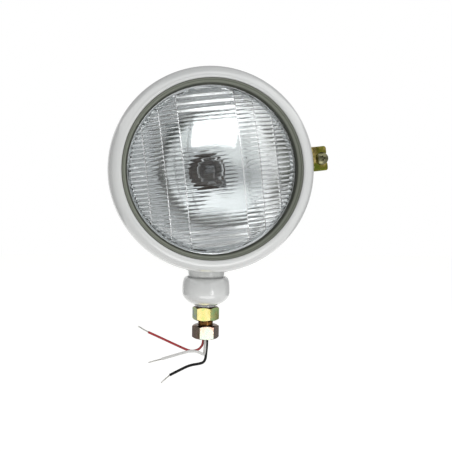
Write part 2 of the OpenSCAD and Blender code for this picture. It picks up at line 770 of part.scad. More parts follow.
// Two coils on their support wires, carried on a glass bead inside the globe
module filament() {
    cap_front = focus_y + globe_r + 4;
    post_r = 0.35;
    coil_r = 0.6;
    coil_len = 5.8;
    color("#8C8F92") translate([0, 0, axis_z]) {
        bar_y(2.6, cap_front - 3, cap_front + 2);
        for (x = [-2.2, 2.2]) translate([x, 0, 0]) bar_y(post_r, focus_y + 1.4, cap_front - 3);
        translate([0, 0, 2.2]) bar_y(post_r, focus_y - 2.6, cap_front - 3);
        for (p = [[focus_y + 1, 0], [focus_y - 3, 2.2]]) translate([-coil_len / 2, p[0], p[1]])
            rotate([0, 90, 0]) cylinder(r = coil_r, h = coil_len, $fn = 24);
    }
}

module bulb_cap() {
    cap_front = focus_y + globe_r + 4;
    cap_back = disc_y - 2.2;
    flange_y = collar_y;
    color(brass) round_lamp() polygon([
        [cap_r - 1.2, cap_front], [cap_r, cap_front], [cap_r, flange_y],
        [bulb_hole_r + reflector_t - 0.1, flange_y], [bulb_hole_r + reflector_t - 0.1, flange_y + 0.8],
        [cap_r, flange_y + 0.8], [cap_r, cap_back], [0, cap_back], [0, cap_front + 2],
        [cap_r - 1.2, cap_front + 2]
    ]);
}

// The holder grips the collar and closes the back of the light unit
module bulb_holder() {
    in_r = bulb_hole_r + reflector_t + 0.1;
    wall = 1.1;
    color("#B9BCBE") round_lamp() polygon([
        [in_r, holder_y], [in_r + wall + 0.9, holder_y], [in_r + wall + 0.9, holder_y + 1.2],
        [in_r + wall, holder_y + 1.2], [in_r + wall, holder_back_y - 1.5],
        [in_r + wall - 1.5, holder_back_y], [in_r - 2.2, holder_back_y],
        [in_r - 2.2, holder_back_y - wall], [in_r, holder_back_y - wall]
    ]);
}

// The fibre disc lies against the holder's rolled-in edge
module contact_disc() {
    disc_r = bulb_hole_r + reflector_t;
    color("#7A4B2A") difference() {
        translate([0, 0, axis_z]) bar_y(disc_r, disc_y, holder_back_y - 1.1);
        for (p = tag_at) translate([p[0], 0, axis_z + p[1]]) bar_y(0.9, disc_y - 1, holder_back_y);
    }
}

// Three sprung studs through the disc, two on the bulb's base and one on its cap
module contacts() {
    color(brass) for (p = tag_at) translate([p[0], 0, axis_z + p[1]]) {
        bar_y(0.9, disc_y - 0.1, tag_y);
        translate([0, disc_y - 1.1, 0]) bar_y(1.5, 0, 1.1);
    }
}

// Blade tags behind the disc, bent down to take the leads
module terminal_tags() {
    color(brass) for (p = tag_at) translate([p[0], tag_y, axis_z + p[1]]) {
        translate([-tag_w / 2, 0, -2.5]) cube([tag_w, 0.8, 5]);
        translate([-tag_w / 2, 0, -tag_low]) cube([tag_w, 0.8, 2.6]);
        translate([-1.4, 0, -tag_low]) cube([2.8, 3.4, 0.8]);
    }
}

// Clamp screw

module clamp_screw() {
    head_r = screw_head_d / 2;
    head_h = 3.4;
    dome_r = 7;
    color(yellow_zinc) turned() translate([clamp_r, 0, axis_z]) difference() {
        union() {
            bar_y(screw_r, tab_y - 0.5, screw_end_y);
            intersection() {
                bar_y(head_r, tab_y - head_h, tab_y);
                translate([0, tab_y - head_h + dome_r, 0]) sphere(r = dome_r, $fn = 64);
            }
        }
        for (a = [0, 90]) rotate([0, a, 0]) translate([-2.5, tab_y - head_h - 1, -0.5]) cube([5, 3, 1]);
    }
}

// A push-on collar behind the tab that keeps the screw with the rim
module screw_collar() {
    color(yellow_zinc) turned() translate([clamp_r, 0, axis_z]) difference() {
        bar_y(screw_r + 1.9, tab_y + tab_t + 0.3, tab_y + tab_t + 1.3);
        bar_y(screw_r, tab_y, lug_y);
    }
}

hollow_stud();
ball_washer();
stud_leads();
red_lead();
white_lead();
black_lead();
lead_cores();
swivel_nut();
mounting_nut();
swivel_cup();
seat_ring();
bowl();
bowl_lug();
lug_rivets();
captive_nut();
head_leads();
rim();
rim_tab();
tab_rivets();
gasket();
lens();
reflector();
retaining_clips();
bulb_glass();
filament();
bulb_cap();
bulb_holder();
contact_disc();
contacts();
terminal_tags();
clamp_screw();
screw_collar();
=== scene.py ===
import math

import bmesh
import bpy
from mathutils import Matrix, Vector


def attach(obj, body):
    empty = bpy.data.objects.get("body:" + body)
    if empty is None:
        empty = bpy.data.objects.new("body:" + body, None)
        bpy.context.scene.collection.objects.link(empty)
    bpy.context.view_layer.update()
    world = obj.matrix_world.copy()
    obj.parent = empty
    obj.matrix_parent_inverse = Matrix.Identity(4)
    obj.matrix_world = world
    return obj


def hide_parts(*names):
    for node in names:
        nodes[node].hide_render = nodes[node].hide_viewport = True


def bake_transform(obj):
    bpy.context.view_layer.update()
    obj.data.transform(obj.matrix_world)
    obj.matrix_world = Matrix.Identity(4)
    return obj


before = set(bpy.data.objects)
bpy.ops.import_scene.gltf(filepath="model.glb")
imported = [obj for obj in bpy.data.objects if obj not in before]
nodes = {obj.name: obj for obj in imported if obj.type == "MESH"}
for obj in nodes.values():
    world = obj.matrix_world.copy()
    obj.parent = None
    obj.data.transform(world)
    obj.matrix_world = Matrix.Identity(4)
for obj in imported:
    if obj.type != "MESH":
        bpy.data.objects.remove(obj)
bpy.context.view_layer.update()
mm = 0.001
print("frame loaded")

# Places that many pieces share, in millimetres, and the clamp's turn round the lamp in degrees
lamp = {"height": 120.1, "turn": 7.0, "rimRadius": 79.0, "glassRadius": 64.4, "glassEdge": -34.6,
        "domeRadius": 160.0, "glassThickness": 3.2, "front": -46.4, "ballHeight": 39.2, "clampRadius": 89.2,
        "studBottom": -15.6}


def arc(centre, size, start, end, count):
    # Points of an ellipse's arc, in millimetres, from one angle to another in degrees
    out = []
    for i in range(count + 1):
        a = math.radians(start + (end - start) * i / count)
        out.append((centre[0] + size[0] * math.cos(a), centre[1] + size[1] * math.sin(a)))
    return out


def deselect():
    # Done before each step, because an operator takes along all that is selected
    bpy.ops.object.select_all(action="DESELECT")


# Camera and light: the view comes first, everything else is judged through it

view = {"lens": 54.42, "sensor": 36.0, "distance": 520.0, "height": 99.0, "depth": -30.0, "yaw": 6.3, "roll": 0.8,
        "shiftX": 0.0324, "shiftY": -0.0637}


def addCamera():
    target = Vector((0, view["depth"], view["height"])) * mm
    away = Vector((-math.tan(math.radians(view["yaw"])), -1, 0)) * view["distance"] * mm
    cam = bpy.data.cameras.new("camera")
    cam.lens, cam.sensor_width = view["lens"], view["sensor"]
    cam.shift_x, cam.shift_y = view["shiftX"], view["shiftY"]
    obj = bpy.data.objects.new("camera", cam)
    bpy.context.scene.collection.objects.link(obj)
    turn = (-away).to_track_quat("-Z", "Y").to_matrix() @ Matrix.Rotation(math.radians(view["roll"]), 3, "Z")
    obj.matrix_world = Matrix.Translation(target + away) @ turn.to_4x4()
    bpy.context.scene.camera = obj


addCamera()


def addNode(tree, kind, inputs=None, settings=None, stops=None):
    # One node with its values and links, its settings, and the stops of a colour ramp
    node = tree.nodes.new("ShaderNode" + kind)
    for key, value in (settings or {}).items():
        setattr(node, key, value)
    for key, value in (inputs or {}).items():
        if isinstance(value, bpy.types.NodeSocket):
            tree.links.new(value, node.inputs[key])
        else:
            node.inputs[key].default_value = value
    if stops:
        elements = node.color_ramp.elements
        while len(elements) < len(stops):
            elements.new(0.5)
        for element, (spot, text) in zip(elements, stops):
            element.position, element.color = spot, colour(text)
    return node


def colour(text):
    # An sRGB hex colour as Blender's linear RGBA
    parts = [int(text[i:i + 2], 16) / 255 for i in (1, 3, 5)]
    return [c / 12.92 if c <= 0.04045 else ((c + 0.055) / 1.055) ** 2.4 for c in parts] + [1.0]


studio = {"level": 0.5, "room": 1.6,
          "tones": ((0.0, "#C6C6C6"), (0.5, "#B8B8B8"), (0.62, "#B8B8B8"), (0.76, "#FFFFFF"), (0.92, "#FFFFFF"),
                    (0.97, "#4E4E4E"))}


def addWorld():
    # White for the camera; metal and glass see a pale room, brightest above the horizon and dim overhead
    world = bpy.data.worlds.new("studio")
    world.use_nodes = True
    bpy.context.scene.world = world
    tree = world.node_tree
    tree.nodes.clear()
    rays = addNode(tree, "LightPath")
    mirrored = addNode(tree, "Math", {0: rays.outputs["Is Glossy Ray"], 1: rays.outputs["Is Transmission Ray"]},
                       {"operation": "MAXIMUM"})
    way = addNode(tree, "TexCoord")
    split = addNode(tree, "SeparateXYZ", {0: way.outputs["Generated"]})
    height = addNode(tree, "MapRange", {"Value": split.outputs["Z"], "From Min": -1.0})
    tones = addNode(tree, "ValToRGB", {"Fac": height.outputs[0]}, stops=studio["tones"])
    room = addNode(tree, "Math", {0: tones.outputs[0], 1: studio["room"]}, {"operation": "MULTIPLY"})
    indirect = addNode(tree, "Mix", {0: mirrored.outputs[0], 2: studio["level"], 3: room.outputs[0]},
                       {"data_type": "FLOAT"})
    strength = addNode(tree, "Mix", {0: rays.outputs["Is Camera Ray"], 2: indirect.outputs[0], 3: 1.0},
                       {"data_type": "FLOAT"})
    back = addNode(tree, "Background", {"Color": [1, 1, 1, 1], "Strength": strength.outputs[0]})
    addNode(tree, "OutputWorld", {"Surface": back.outputs[0]})


# Lights and cards, in metres: all of them face the lamp's middle unless they say otherwise

lampMiddle = (0, -0.02, 0.1)
lights = {"keyLight": {"place": (0.75, -1.0, 0.75), "size": (0.9, 0.9), "power": 8.0},
          "fillLight": {"place": (-0.8, -0.8, 0.2), "size": (0.7, 0.9), "power": 1.6},
          "lowLight": {"place": (0.0, -0.32, -0.19), "size": (0.4, 0.33), "power": 0.2, "aim": (0.0, -0.32, 1.0)}}
cards = {"lowStrip": {"level": 3.4, "corners": [(-0.296, -0.385, -0.185), (0.284, -0.385, -0.185),
                                                (-0.125, -0.15, -0.185), (0.151, -0.15, -0.185)]},
         "lowGlow": {"level": 1.3, "corners": [(-0.36, -0.44, -0.188), (0.36, -0.44, -0.188),
                                               (-0.16, -0.125, -0.188), (0.2, -0.125, -0.188)]},
         "upperFlag": {"level": 0.08, "place": (-0.12, -1.08, 0.58), "size": (0.75, 0.36)},
         "lowerFlag": {"level": 0.1, "place": (-0.05, -1.15, -0.09), "size": (0.5, 0.1)},
         "strip": {"level": 3.0, "place": (0.058, -0.56, 0.11), "size": (0.009, 0.06)},
         "topBackFlag": {"level": 0.35, "place": (0.0, 0.35, 0.55), "size": (1.2, 0.6)},
         "rightBackFlag": {"level": 0.3, "place": (0.55, 0.32, 0.0), "size": (0.5, 0.9)},
         "leftBackFlag": {"level": 0.3, "place": (-0.55, 0.32, 0.0), "size": (0.5, 0.9)},
         "cupStrip": {"level": 7.0, "place": (0.285, -0.6, -0.095), "size": (0.09, 0.2)},
         "lensScreen": {"level": 0.75, "place": (0.091, -0.187, 0.052), "size": (0.12, 0.085)}}


def faceTowards(place, aim):
    way = Vector(aim) - Vector(place)
    return Matrix.Translation(Vector(place)) @ way.to_track_quat("-Z", "Y").to_matrix().to_4x4()


def addSoftLight(name, place, size, power, aim=lampMiddle):
    # A large lamp that metal and glass don't see
    light = bpy.data.lights.new(name, "AREA")
    light.shape, light.size, light.size_y, light.energy = "RECTANGLE", size[0], size[1], power
    obj = bpy.data.objects.new(name, light)
    bpy.context.scene.collection.objects.link(obj)
    obj.matrix_world = faceTowards(place, aim)
    obj.visible_camera = obj.visible_glossy = obj.visible_transmission = False


def addCard(name, level, place=None, size=None, corners=None):
    # A card that only metal and glass see, as dark as a flag or as bright as a strip light
    deselect()
    bpy.ops.mesh.primitive_plane_add(size=1.0)
    card = bpy.context.object
    card.name = name
    if corners:
        for vertex, corner in zip(card.data.vertices, corners):
            vertex.co = corner
    else:
        card.matrix_world = faceTowards(place, lampMiddle) @ Matrix.Diagonal((*size, 1, 1))
    card.visible_camera = card.visible_diffuse = card.visible_shadow = False
    material, tree = newMaterial(name)
    glow = addNode(tree, "Emission", {"Color": [1, 1, 1, 1], "Strength": level})
    addNode(tree, "OutputMaterial", {"Surface": glow.outputs[0]})
    card.data.materials.append(material)


def newMaterial(name):
    material = bpy.data.materials.new(name)
    material.use_nodes = True
    material.node_tree.nodes.clear()
    return material, material.node_tree


addWorld()
for name, light in lights.items():
    addSoftLight(name, **light)
for name, card in cards.items():
    addCard(name, **card)
bpy.context.scene.view_settings.view_transform = "Standard"
print("camera and lights placed")

# Materials: each pattern is noise on Object coordinates, whose cells have a size in millimetres


def paintMaterial(name, base, shade):
    # Sprayed and stoved grey enamel on sheet steel: a smooth gloss coat with a trace of orange peel
    material, tree = newMaterial(name)
    spot = addNode(tree, "TexCoord").outputs["Object"]
    peel = addNode(tree, "TexNoise", {"Vector": spot, "Scale": 1 / (1.6 * mm), "Detail": 2})
    bump = addNode(tree, "Bump", {"Height": peel.outputs[0], "Strength": 0.06, "Distance": 0.0002})
    drift = addNode(tree, "TexNoise", {"Vector": spot, "Scale": 1 / (34 * mm), "Detail": 2})
    tone = addNode(tree, "MixRGB", {0: drift.outputs[0], 1: colour(base), 2: colour(shade)})
    shader = addNode(tree, "BsdfPrincipled", {
        "Base Color": tone.outputs[0], "Roughness": 0.24, "Coat Weight": 1.0, "Coat Roughness": 0.04,
        "Normal": bump.outputs[0]})
    addNode(tree, "OutputMaterial", {"Surface": shader.outputs[0]})
    return material


def metalMaterial(name, base, shade, roughness, spread, size=3.0, scratch=0.05):
    # Metal with a slow change of tone and a fine grain in its gloss
    material, tree = newMaterial(name)
    spot = addNode(tree, "TexCoord").outputs["Object"]
    drift = addNode(tree, "TexNoise", {"Vector": spot, "Scale": 1 / (size * mm), "Detail": 4})
    tone = addNode(tree, "MixRGB", {0: drift.outputs[0], 1: colour(base), 2: colour(shade)})
    fine = addNode(tree, "TexNoise", {"Vector": spot, "Scale": 1 / (0.35 * mm), "Detail": 3})
    gloss = addNode(tree, "MapRange", {
        "Value": fine.outputs[0], "To Min": roughness - spread, "To Max": roughness + spread})
    bump = addNode(tree, "Bump", {
        "Height": fine.outputs[0], "Strength": scratch, "Distance": 0.0001})
    shader = addNode(tree, "BsdfPrincipled", {
        "Base Color": tone.outputs[0], "Metallic": 1.0, "Roughness": gloss.outputs[0], "Normal": bump.outputs[0]})
    addNode(tree, "OutputMaterial", {"Surface": shader.outputs[0]})
    return material


def zincMaterial(name, tones, size=9.0, fall=None):
    # Zinc plate with a yellow chromate film, whose colour drifts with its thickness: gold, then green, then rose
    thin, thick = 0.36, 0.64  # the stretch of the noise that the tones are spread over
    material, tree = newMaterial(name)
    spot = addNode(tree, "TexCoord").outputs["Object"]
    drift = addNode(tree, "TexNoise", {"Vector": spot, "Scale": 1 / (size * mm), "Detail": 2})
    film = drift.outputs[0]
    if fall:
        # The film runs thicker from the first height to the second
        split = addNode(tree, "SeparateXYZ", {0: spot})
        run = addNode(tree, "MapRange", {
            "Value": split.outputs["Z"], "From Min": fall[0] * mm, "From Max": fall[1] * mm, "To Min": thin,
            "To Max": thick})
        film = addNode(tree, "Mix", {0: 0.3, 2: run.outputs[0], 3: film}, {"data_type": "FLOAT"}).outputs[0]
    stops = [(thin + (thick - thin) * i / (len(tones) - 1), text) for i, text in enumerate(tones)]
    ramp = addNode(tree, "ValToRGB", {"Fac": film}, stops=stops)
    fine = addNode(tree, "TexNoise", {"Vector": spot, "Scale": 1 / (0.5 * mm), "Detail": 3})
    gloss = addNode(tree, "MapRange", {"Value": fine.outputs[0], "To Min": 0.16, "To Max": 0.3})
    bump = addNode(tree, "Bump", {"Height": fine.outputs[0], "Strength": 0.04, "Distance": 0.0001})
    shader = addNode(tree, "BsdfPrincipled", {
        "Base Color": ramp.outputs[0], "Metallic": 1.0, "Roughness": gloss.outputs[0], "Normal": bump.outputs[0]})
    addNode(tree, "OutputMaterial", {"Surface": shader.outputs[0]})
    return material


def plainMaterial(name, base, shade, roughness, specular=0.5):
    # A moulded or extruded skin with a fine uneven grain
    material, tree = newMaterial(name)
    spot = addNode(tree, "TexCoord").outputs["Object"]
    drift = addNode(tree, "TexNoise", {"Vector": spot, "Scale": 1 / (2.0 * mm), "Detail": 3})
    tone = addNode(tree, "MixRGB", {0: drift.outputs[0], 1: colour(base), 2: colour(shade)})
    bump = addNode(tree, "Bump", {"Height": drift.outputs[0], "Strength": 0.1, "Distance": 0.0002})
    shader = addNode(tree, "BsdfPrincipled", {
        "Base Color": tone.outputs[0], "Roughness": roughness, "Normal": bump.outputs[0],
        "Specular IOR Level": specular})
    addNode(tree, "OutputMaterial", {"Surface": shader.outputs[0]})
    return material


def rubberMaterial(name, inner, outer, tones):
    # Moulded grey-green rubber with painted shade: dark in the corner by the glass and under the lip, paler
    # between them, with a darker band across the middle. The tones run from one radius to another round the lamp's
    # axis
    material, tree = newMaterial(name)
    spot = addNode(tree, "TexCoord").outputs["Object"]
    flat = addNode(tree, "VectorMath", {0: spot, 1: (1, 0, 1), 2: (0, 0, -lamp["height"] * mm)},
                   {"operation": "MULTIPLY_ADD"})
    radius = addNode(tree, "VectorMath", {0: flat.outputs[0]}, {"operation": "LENGTH"})
    share = addNode(tree, "MapRange", {
        "Value": radius.outputs["Value"], "From Min": inner * mm, "From Max": outer * mm})
    ramp = addNode(tree, "ValToRGB", {"Fac": share.outputs[0]}, stops=tones)
    skin = addNode(tree, "TexNoise", {"Vector": spot, "Scale": 1 / (1.2 * mm), "Detail": 3})
    bump = addNode(tree, "Bump", {"Height": skin.outputs[0], "Strength": 0.15, "Distance": 0.0002})
    shader = addNode(tree, "BsdfPrincipled", {
        "Base Color": ramp.outputs[0], "Roughness": 0.5, "Normal": bump.outputs[0]})
    addNode(tree, "OutputMaterial", {"Surface": shader.outputs[0]})
    return material


def glassMaterial(name, tint, ior):
    # Soda-lime glass, clear and smooth
    material, tree = newMaterial(name)
    shader = addNode(tree, "BsdfPrincipled", {
        "Base Color": colour(tint), "Roughness": 0.0, "IOR": ior, "Transmission Weight": 1.0})
    addNode(tree, "OutputMaterial", {"Surface": shader.outputs[0]})
    return material


paint = paintMaterial("stovedGreyEnamel", "#D6D7D6", "#CED0D0")
# The chromate film differs from piece to piece, so several have tones of their own. The nuts' flats get lit and
# shaded copies as painted light, and the last one, dark brown, is painted shade for the stud and the nuts' ends
# and bores
zinc = zincMaterial("yellowPassivatedZinc", ("#A39A5C", "#CDBB72", "#D9CF9C", "#A8B87C", "#B79C84"))
litGoldZinc = zincMaterial("litGoldPassivatedZinc", ("#D8E08E", "#F4E596", "#F6E7A2", "#E6DC8C"))
shadedGreenZinc = zincMaterial("shadedGreenPassivatedZinc", ("#7F8F86", "#9AA870", "#8FA873", "#A8A66C"))
litPaleZinc = zincMaterial("litPaleZinc", ("#F0B9A4", "#F3EFD8", "#DDEEDD", "#F6EEDC"))
shadedMauveZinc = zincMaterial("shadedMauvePassivatedZinc", ("#9C8784", "#8F8474", "#A38D84", "#8A8268"))
tabZinc = zincMaterial("tabPassivatedZinc", ("#7E9A28", "#55701A", "#56681E", "#6E6A2C", "#B8A468"), 5.0,
                       (110.5, 130.8))
screwZinc = zincMaterial("screwPassivatedZinc", ("#585644", "#76745A", "#5E5C48"))
shadedBrownZinc = zincMaterial("shadedBrownPassivatedZinc", ("#5A3A1E", "#3C2816", "#6B4A26", "#2E2012"))
# The dark stops at both ends of these tones are painted shade, by the glass and under the lip
rubber = rubberMaterial("mouldedRubber", 64.4, 68.2, (
    (0.0, "#33362E"), (0.22, "#3E4138"), (0.34, "#82867A"), (0.52, "#8C9084"), (0.62, "#666A5E"),
    (0.76, "#7A7E72"), (0.9, "#4A4D43")))
lensGlass = glassMaterial("pressedGlass", "#FBFCFC", 1.5)
# The bulb's wall is thin and hardly mirrors the room, so its IOR is set low
bulbGlass = glassMaterial("greyedBlownGlass", "#E6E8E8", 1.15)
# Aluminium laid on in a vacuum leaves no grain, where the dish's bare back keeps a dull spun one
mirror = metalMaterial("aluminisedMirror", "#F1F2F3", "#EDEFF0", 0.05, 0.01, 20, 0.002)
dullBack = metalMaterial("spunSteelBack", "#8C8E90", "#808284", 0.42, 0.05, 12)
# Small metals inside the lamp, all dark and half dull as painted shade, as they show through the bulb's hole
brass = metalMaterial("drawnBrass", "#3E352C", "#2C251F", 0.4, 0.06)
plated = metalMaterial("zincPlatedSteel", "#343636", "#2A2B2C", 0.34, 0.06)
tungsten = metalMaterial("drawnTungsten", "#77797B", "#626466", 0.4, 0.05)
# Pressed fibre is matt and a dull brown
fibre = plainMaterial("pressedFibre", "#5B4332", "#49362A", 0.7)
# Extruded vinyl has a low sheen, and the black one is the dullest
redLead = plainMaterial("redExtrudedVinyl", "#A5121B", "#8C0E16", 0.35)
whiteLead = plainMaterial("whiteExtrudedVinyl", "#D6D6D4", "#C8C8C6", 0.35)
blackLead = plainMaterial("blackExtrudedVinyl", "#09090A", "#0D0D0E", 0.6, 0.2)
# Tinned copper is grey and half bright
copper = metalMaterial("tinnedCopperStrand", "#B4B4B1", "#98968F", 0.35, 0.05)
print("materials made")


def dress(obj, material):
    obj.data.materials.clear()
    obj.data.materials.append(material)


# Every CAD node is dressed, though new pieces replace many of them further down
for name, material in {
        "hollow_stud": zinc, "ball_washer": zinc, "swivel_nut": zinc, "mounting_nut": zinc,
        "swivel_cup": paint, "seat_ring": fibre, "bowl": paint, "bowl_lug": paint, "lug_rivets": paint,
        "captive_nut": zinc, "rim": paint, "rim_tab": zinc, "tab_rivets": zinc, "gasket": rubber,
        "lens": lensGlass, "reflector": mirror, "retaining_clips": zinc, "bulb_glass": bulbGlass,
        "filament": tungsten, "bulb_cap": brass, "bulb_holder": plated, "contact_disc": fibre,
        "contacts": brass, "terminal_tags": brass, "clamp_screw": zinc, "screw_collar": zinc,
        "stud_leads": blackLead, "head_leads": blackLead, "red_lead": redLead, "white_lead": whiteLead,
        "black_lead": blackLead, "lead_cores": copper}.items():
    dress(nodes[name], material)

# Steps that many pieces are modelled with


def namePiece(name):
    # Names the piece that was just added or joined, and its mesh
    piece = bpy.context.object
    piece.name = piece.data.name = name
    return piece


def selectPieces(pieces):
    deselect()
    for piece in pieces:
        piece.select_set(True)
    bpy.context.view_layer.objects.active = pieces[0]


def closeMesh(gap=0.0):
    # Merges what lies closer than a gap in metres, turns the faces outwards and leaves edit mode
    bpy.ops.mesh.select_all(action="SELECT")
    if gap:
        bpy.ops.mesh.remove_doubles(threshold=gap)
    bpy.ops.mesh.normals_make_consistent(inside=False)
    bpy.ops.object.mode_set(mode="OBJECT")


def drawOutline(name, points):
    # A plane merged to one vertex, then extruded from point to point
    deselect()
    bpy.ops.mesh.primitive_plane_add(size=mm, location=(0, 0, 0))
    piece = namePiece(name)
    bpy.ops.object.mode_set(mode="EDIT")
    bpy.ops.mesh.merge(type="CENTER")
    bpy.ops.transform.translate(value=points[0])
    for a, b in zip(points, points[1:]):
        bpy.ops.mesh.extrude_vertices_move(TRANSFORM_OT_translate={"value": b - a})
    return piece


def spinOutline(name, outline, steps, across=0.0, upright=False):
    # outline holds (radius, depth) round an axis along Y, across millimetres to the right of the lamp's, or
    # (radius, height) round the stud's axis if it is upright
    if upright:
        points = [Vector((r, 0, h)) * mm for r, h in outline]
        centre, axis = Vector((0, 0, 0)), (0, 0, 1)
    else:
        points = [Vector((across + r, d, lamp["height"])) * mm for r, d in outline]
        centre, axis = Vector((across, 0, lamp["height"])) * mm, (0, 1, 0)
    piece = drawOutline(name, points)
    bpy.ops.mesh.select_all(action="SELECT")
    bpy.ops.mesh.spin(steps=steps, angle=math.tau, center=centre, axis=axis)
    closeMesh(1e-6)
    return piece


def roundCorners(points, radius, count=4, closed=True):
    # Fillets every corner of an outline that has room for it
    out, n = [], len(points)
    for i, p in enumerate(points):
        if not closed and i in (0, n - 1):
            out.append(p)
            continue
        p, a, b = Vector(p), Vector(points[i - 1]), Vector(points[(i + 1) % n])
        u, v = a - p, b - p
        reach = min(radius, u.length * 0.45, v.length * 0.45)
        start, end = p + u.normalized() * reach, p + v.normalized() * reach
        for k in range(count + 1):
            t = k / count
            out.append(tuple(start * (1 - t) ** 2 + p * 2 * t * (1 - t) + end * t * t))
    return out


def smooth(piece, angle):
    selectPieces([piece])
    bpy.ops.object.shade_smooth_by_angle(angle=math.radians(angle))


def applyModifier(piece, kind, **settings):
    selectPieces([piece])
    modifier = piece.modifiers.new(kind.lower(), kind)
    for key, value in settings.items():
        setattr(modifier, key, value)
    bpy.ops.object.modifier_apply(modifier=modifier.name)


def joinPieces(pieces):
    selectPieces(pieces)
    bpy.ops.object.join()
    return pieces[0]


def turnAroundLamp(piece):
    # Turns a finished mesh to the clamp's angle round the lamp's axis, with its place kept in its mesh
    selectPieces([piece])
    bpy.ops.object.mode_set(mode="EDIT")
    bpy.ops.mesh.select_all(action="SELECT")
    bpy.ops.transform.rotate(value=math.radians(lamp["turn"]), orient_axis="Y", orient_type="GLOBAL",
                             center_override=Vector((0, 0, lamp["height"])) * mm)
    bpy.ops.object.mode_set(mode="OBJECT")


def place(piece, material, body, slot, *replaced):
    dress(piece, material)
    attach(piece, body)
    if replaced:
        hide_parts(*replaced)
    return piece


def closeOutline(points):
    return list(points) + [points[0]]


def pushOutline(name, points, push):
    # A closed outline, filled and pushed out to a solid, all in millimetres
    piece = drawOutline(name, [Vector(p) * mm for p in points])
    bpy.ops.mesh.select_all(action="SELECT")
    bpy.ops.mesh.edge_face_add()
    bpy.ops.mesh.extrude_region_move(TRANSFORM_OT_translate={"value": Vector(push) * mm})
    closeMesh()
    return piece


def addBar(name, radius, start, end, sides):
    # A round bar from one point to another, in millimetres
    start, end = Vector(start) * mm, Vector(end) * mm
    way = end - start
    deselect()
    turn = way.to_track_quat("Z", "Y").to_euler()
    bpy.ops.mesh.primitive_cylinder_add(vertices=sides, radius=radius * mm, depth=way.length,
                                        location=(start + end) / 2, rotation=turn)
    bpy.ops.object.transform_apply(location=True, rotation=True, scale=True)
    return namePiece(name)


def soften(piece, width, segments=2):
    applyModifier(piece, "BEVEL", width=width * mm, segments=segments, limit_method="ANGLE",
                  angle_limit=math.radians(30), harden_normals=False)


def combine(piece, other, operation="DIFFERENCE"):
    # A boolean step, after which the other piece is taken away
    applyModifier(piece, "BOOLEAN", object=other, operation=operation, solver="EXACT")
    selectPieces([other])
    bpy.ops.object.delete()


# Rim: rolled sheet with a rounded nose, a curled inner lip and a plain skirt

rim = {"noseWidth": 9.0, "noseDepth": 16.4, "curlWidth": 1.8, "curlDepth": 1.9, "lipDepth": 4.1,
       "skirtFront": -30.0, "skirtBack": -19.6, "sheet": 1.2, "edge": 0.3, "steps": 192}


def addRim():
    r, t, edge, back, front = lamp["rimRadius"], rim["sheet"], rim["edge"], rim["skirtBack"], lamp["front"]
    nose = r - rim["noseWidth"]
    lip, end = nose - rim["curlWidth"], front + rim["lipDepth"]
    curl = arc((nose, front + rim["curlDepth"]), (rim["curlWidth"], rim["curlDepth"]), 270, 180, 7)
    outer = arc((nose, rim["skirtFront"]), (rim["noseWidth"], -rim["noseDepth"]), 0, 88, 26)
    inner = arc((nose, rim["skirtFront"]), (rim["noseWidth"] - t, -(rim["noseDepth"] - t)), 84, 0, 20)
    outline = [(r, back - edge), *outer, *curl, (lip, end), (lip + t / 2, end + 0.2), (lip + t, end),
               (lip + t, front + 2.4), *inner, (r - t, back - edge), (r - t + edge, back), (r - edge, back)]
    piece = spinOutline("rimShell", closeOutline(outline), rim["steps"])
    smooth(piece, 50)
    place(piece, paint, "light_unit", "grey_paint", "rim")


addRim()
print("rim made")

# Rubber ring between lip and glass, with fine steps moulded in its face

seal = {"steps": 6, "ridge": 0.22, "channel": 2.6, "wall": 4.7, "set": 1.6, "tuck": 0.5}


def addSeal():
    lip = lamp["rimRadius"] - rim["noseWidth"] - rim["curlWidth"]
    glass, edge, front = lamp["glassRadius"], lamp["glassEdge"], lamp["front"] + seal["set"]
    run = (lip - 0.8 - glass, front - edge + seal["tuck"])
    face = []
    for i in range(seal["steps"]):
        for share, rise in ((0.0, 0.0), (0.12, seal["ridge"]), (0.6, seal["ridge"]), (0.75, 0.0)):
            s = (i + share) / seal["steps"]
            face.append((glass + run[0] * s - rise, edge - seal["tuck"] + run[1] * s))
    outer = glass + seal["wall"]
    outline = [(glass + 0.05, edge), *face, (lip - 0.9, front), (lip - 0.4, front - 0.25), (lip, front),
               (lip, lamp["front"] + rim["lipDepth"]), (outer + seal["channel"], lamp["front"] + 5.5),
               (outer + seal["channel"], edge + 3), (outer, edge + 3), (outer, edge)]
    piece = spinOutline("rubberRing", closeOutline(outline), 160)
    smooth(piece, 40)
    place(piece, rubber, "light_unit", "rubber", "gasket")


addSeal()
print("rubber ring made")

# Reflector: a spun dish, bright inside, with a plain flange and a short collar round the bulb hole

dish = {"focal": 26.0, "radius": 63.6, "edge": -31.5, "hole": 13.5, "collar": 6.0, "sheet": 0.8,
        "flange": 69.0, "rings": 44}


def dishDepth(radius):
    apex = dish["edge"] + dish["radius"] ** 2 / (4 * dish["focal"])
    return apex - radius ** 2 / (4 * dish["focal"])


def addReflector():
    t, hole = dish["sheet"], dish["hole"]
    edge, flange, count = dish["edge"], dish["flange"], dish["rings"]
    radii = [dish["radius"] + (hole + 0.6 - dish["radius"]) * i / count for i in range(count + 1)]
    inside = [(r, dishDepth(r)) for r in radii]
    collar = dishDepth(hole) + dish["collar"]
    outside = [(r + t * 0.6, d + t * 0.9) for r, d in reversed(inside)]
    outline = [(flange, edge), (dish["radius"] + 0.5, edge), *inside, (hole, dishDepth(hole) + 0.5),
               (hole, collar), (hole + t, collar), (hole + t, dishDepth(hole) + 1.6), *outside,
               (dish["radius"] + 1.2, edge + t), (flange, edge + t)]
    piece = spinOutline("spunReflector", closeOutline(outline), 192)
    smooth(piece, 40)
    place(piece, mirror, "light_unit", "reflector_metal", "reflector")
    piece.data.materials.append(dullBack)
    for face in piece.data.polygons:
        face.material_index = 1 if face.normal.y > 0.2 else 0


addReflector()
print("reflector made")

# Lens: pressed glass, domed and smooth outside, with flutes and prisms on its inner face

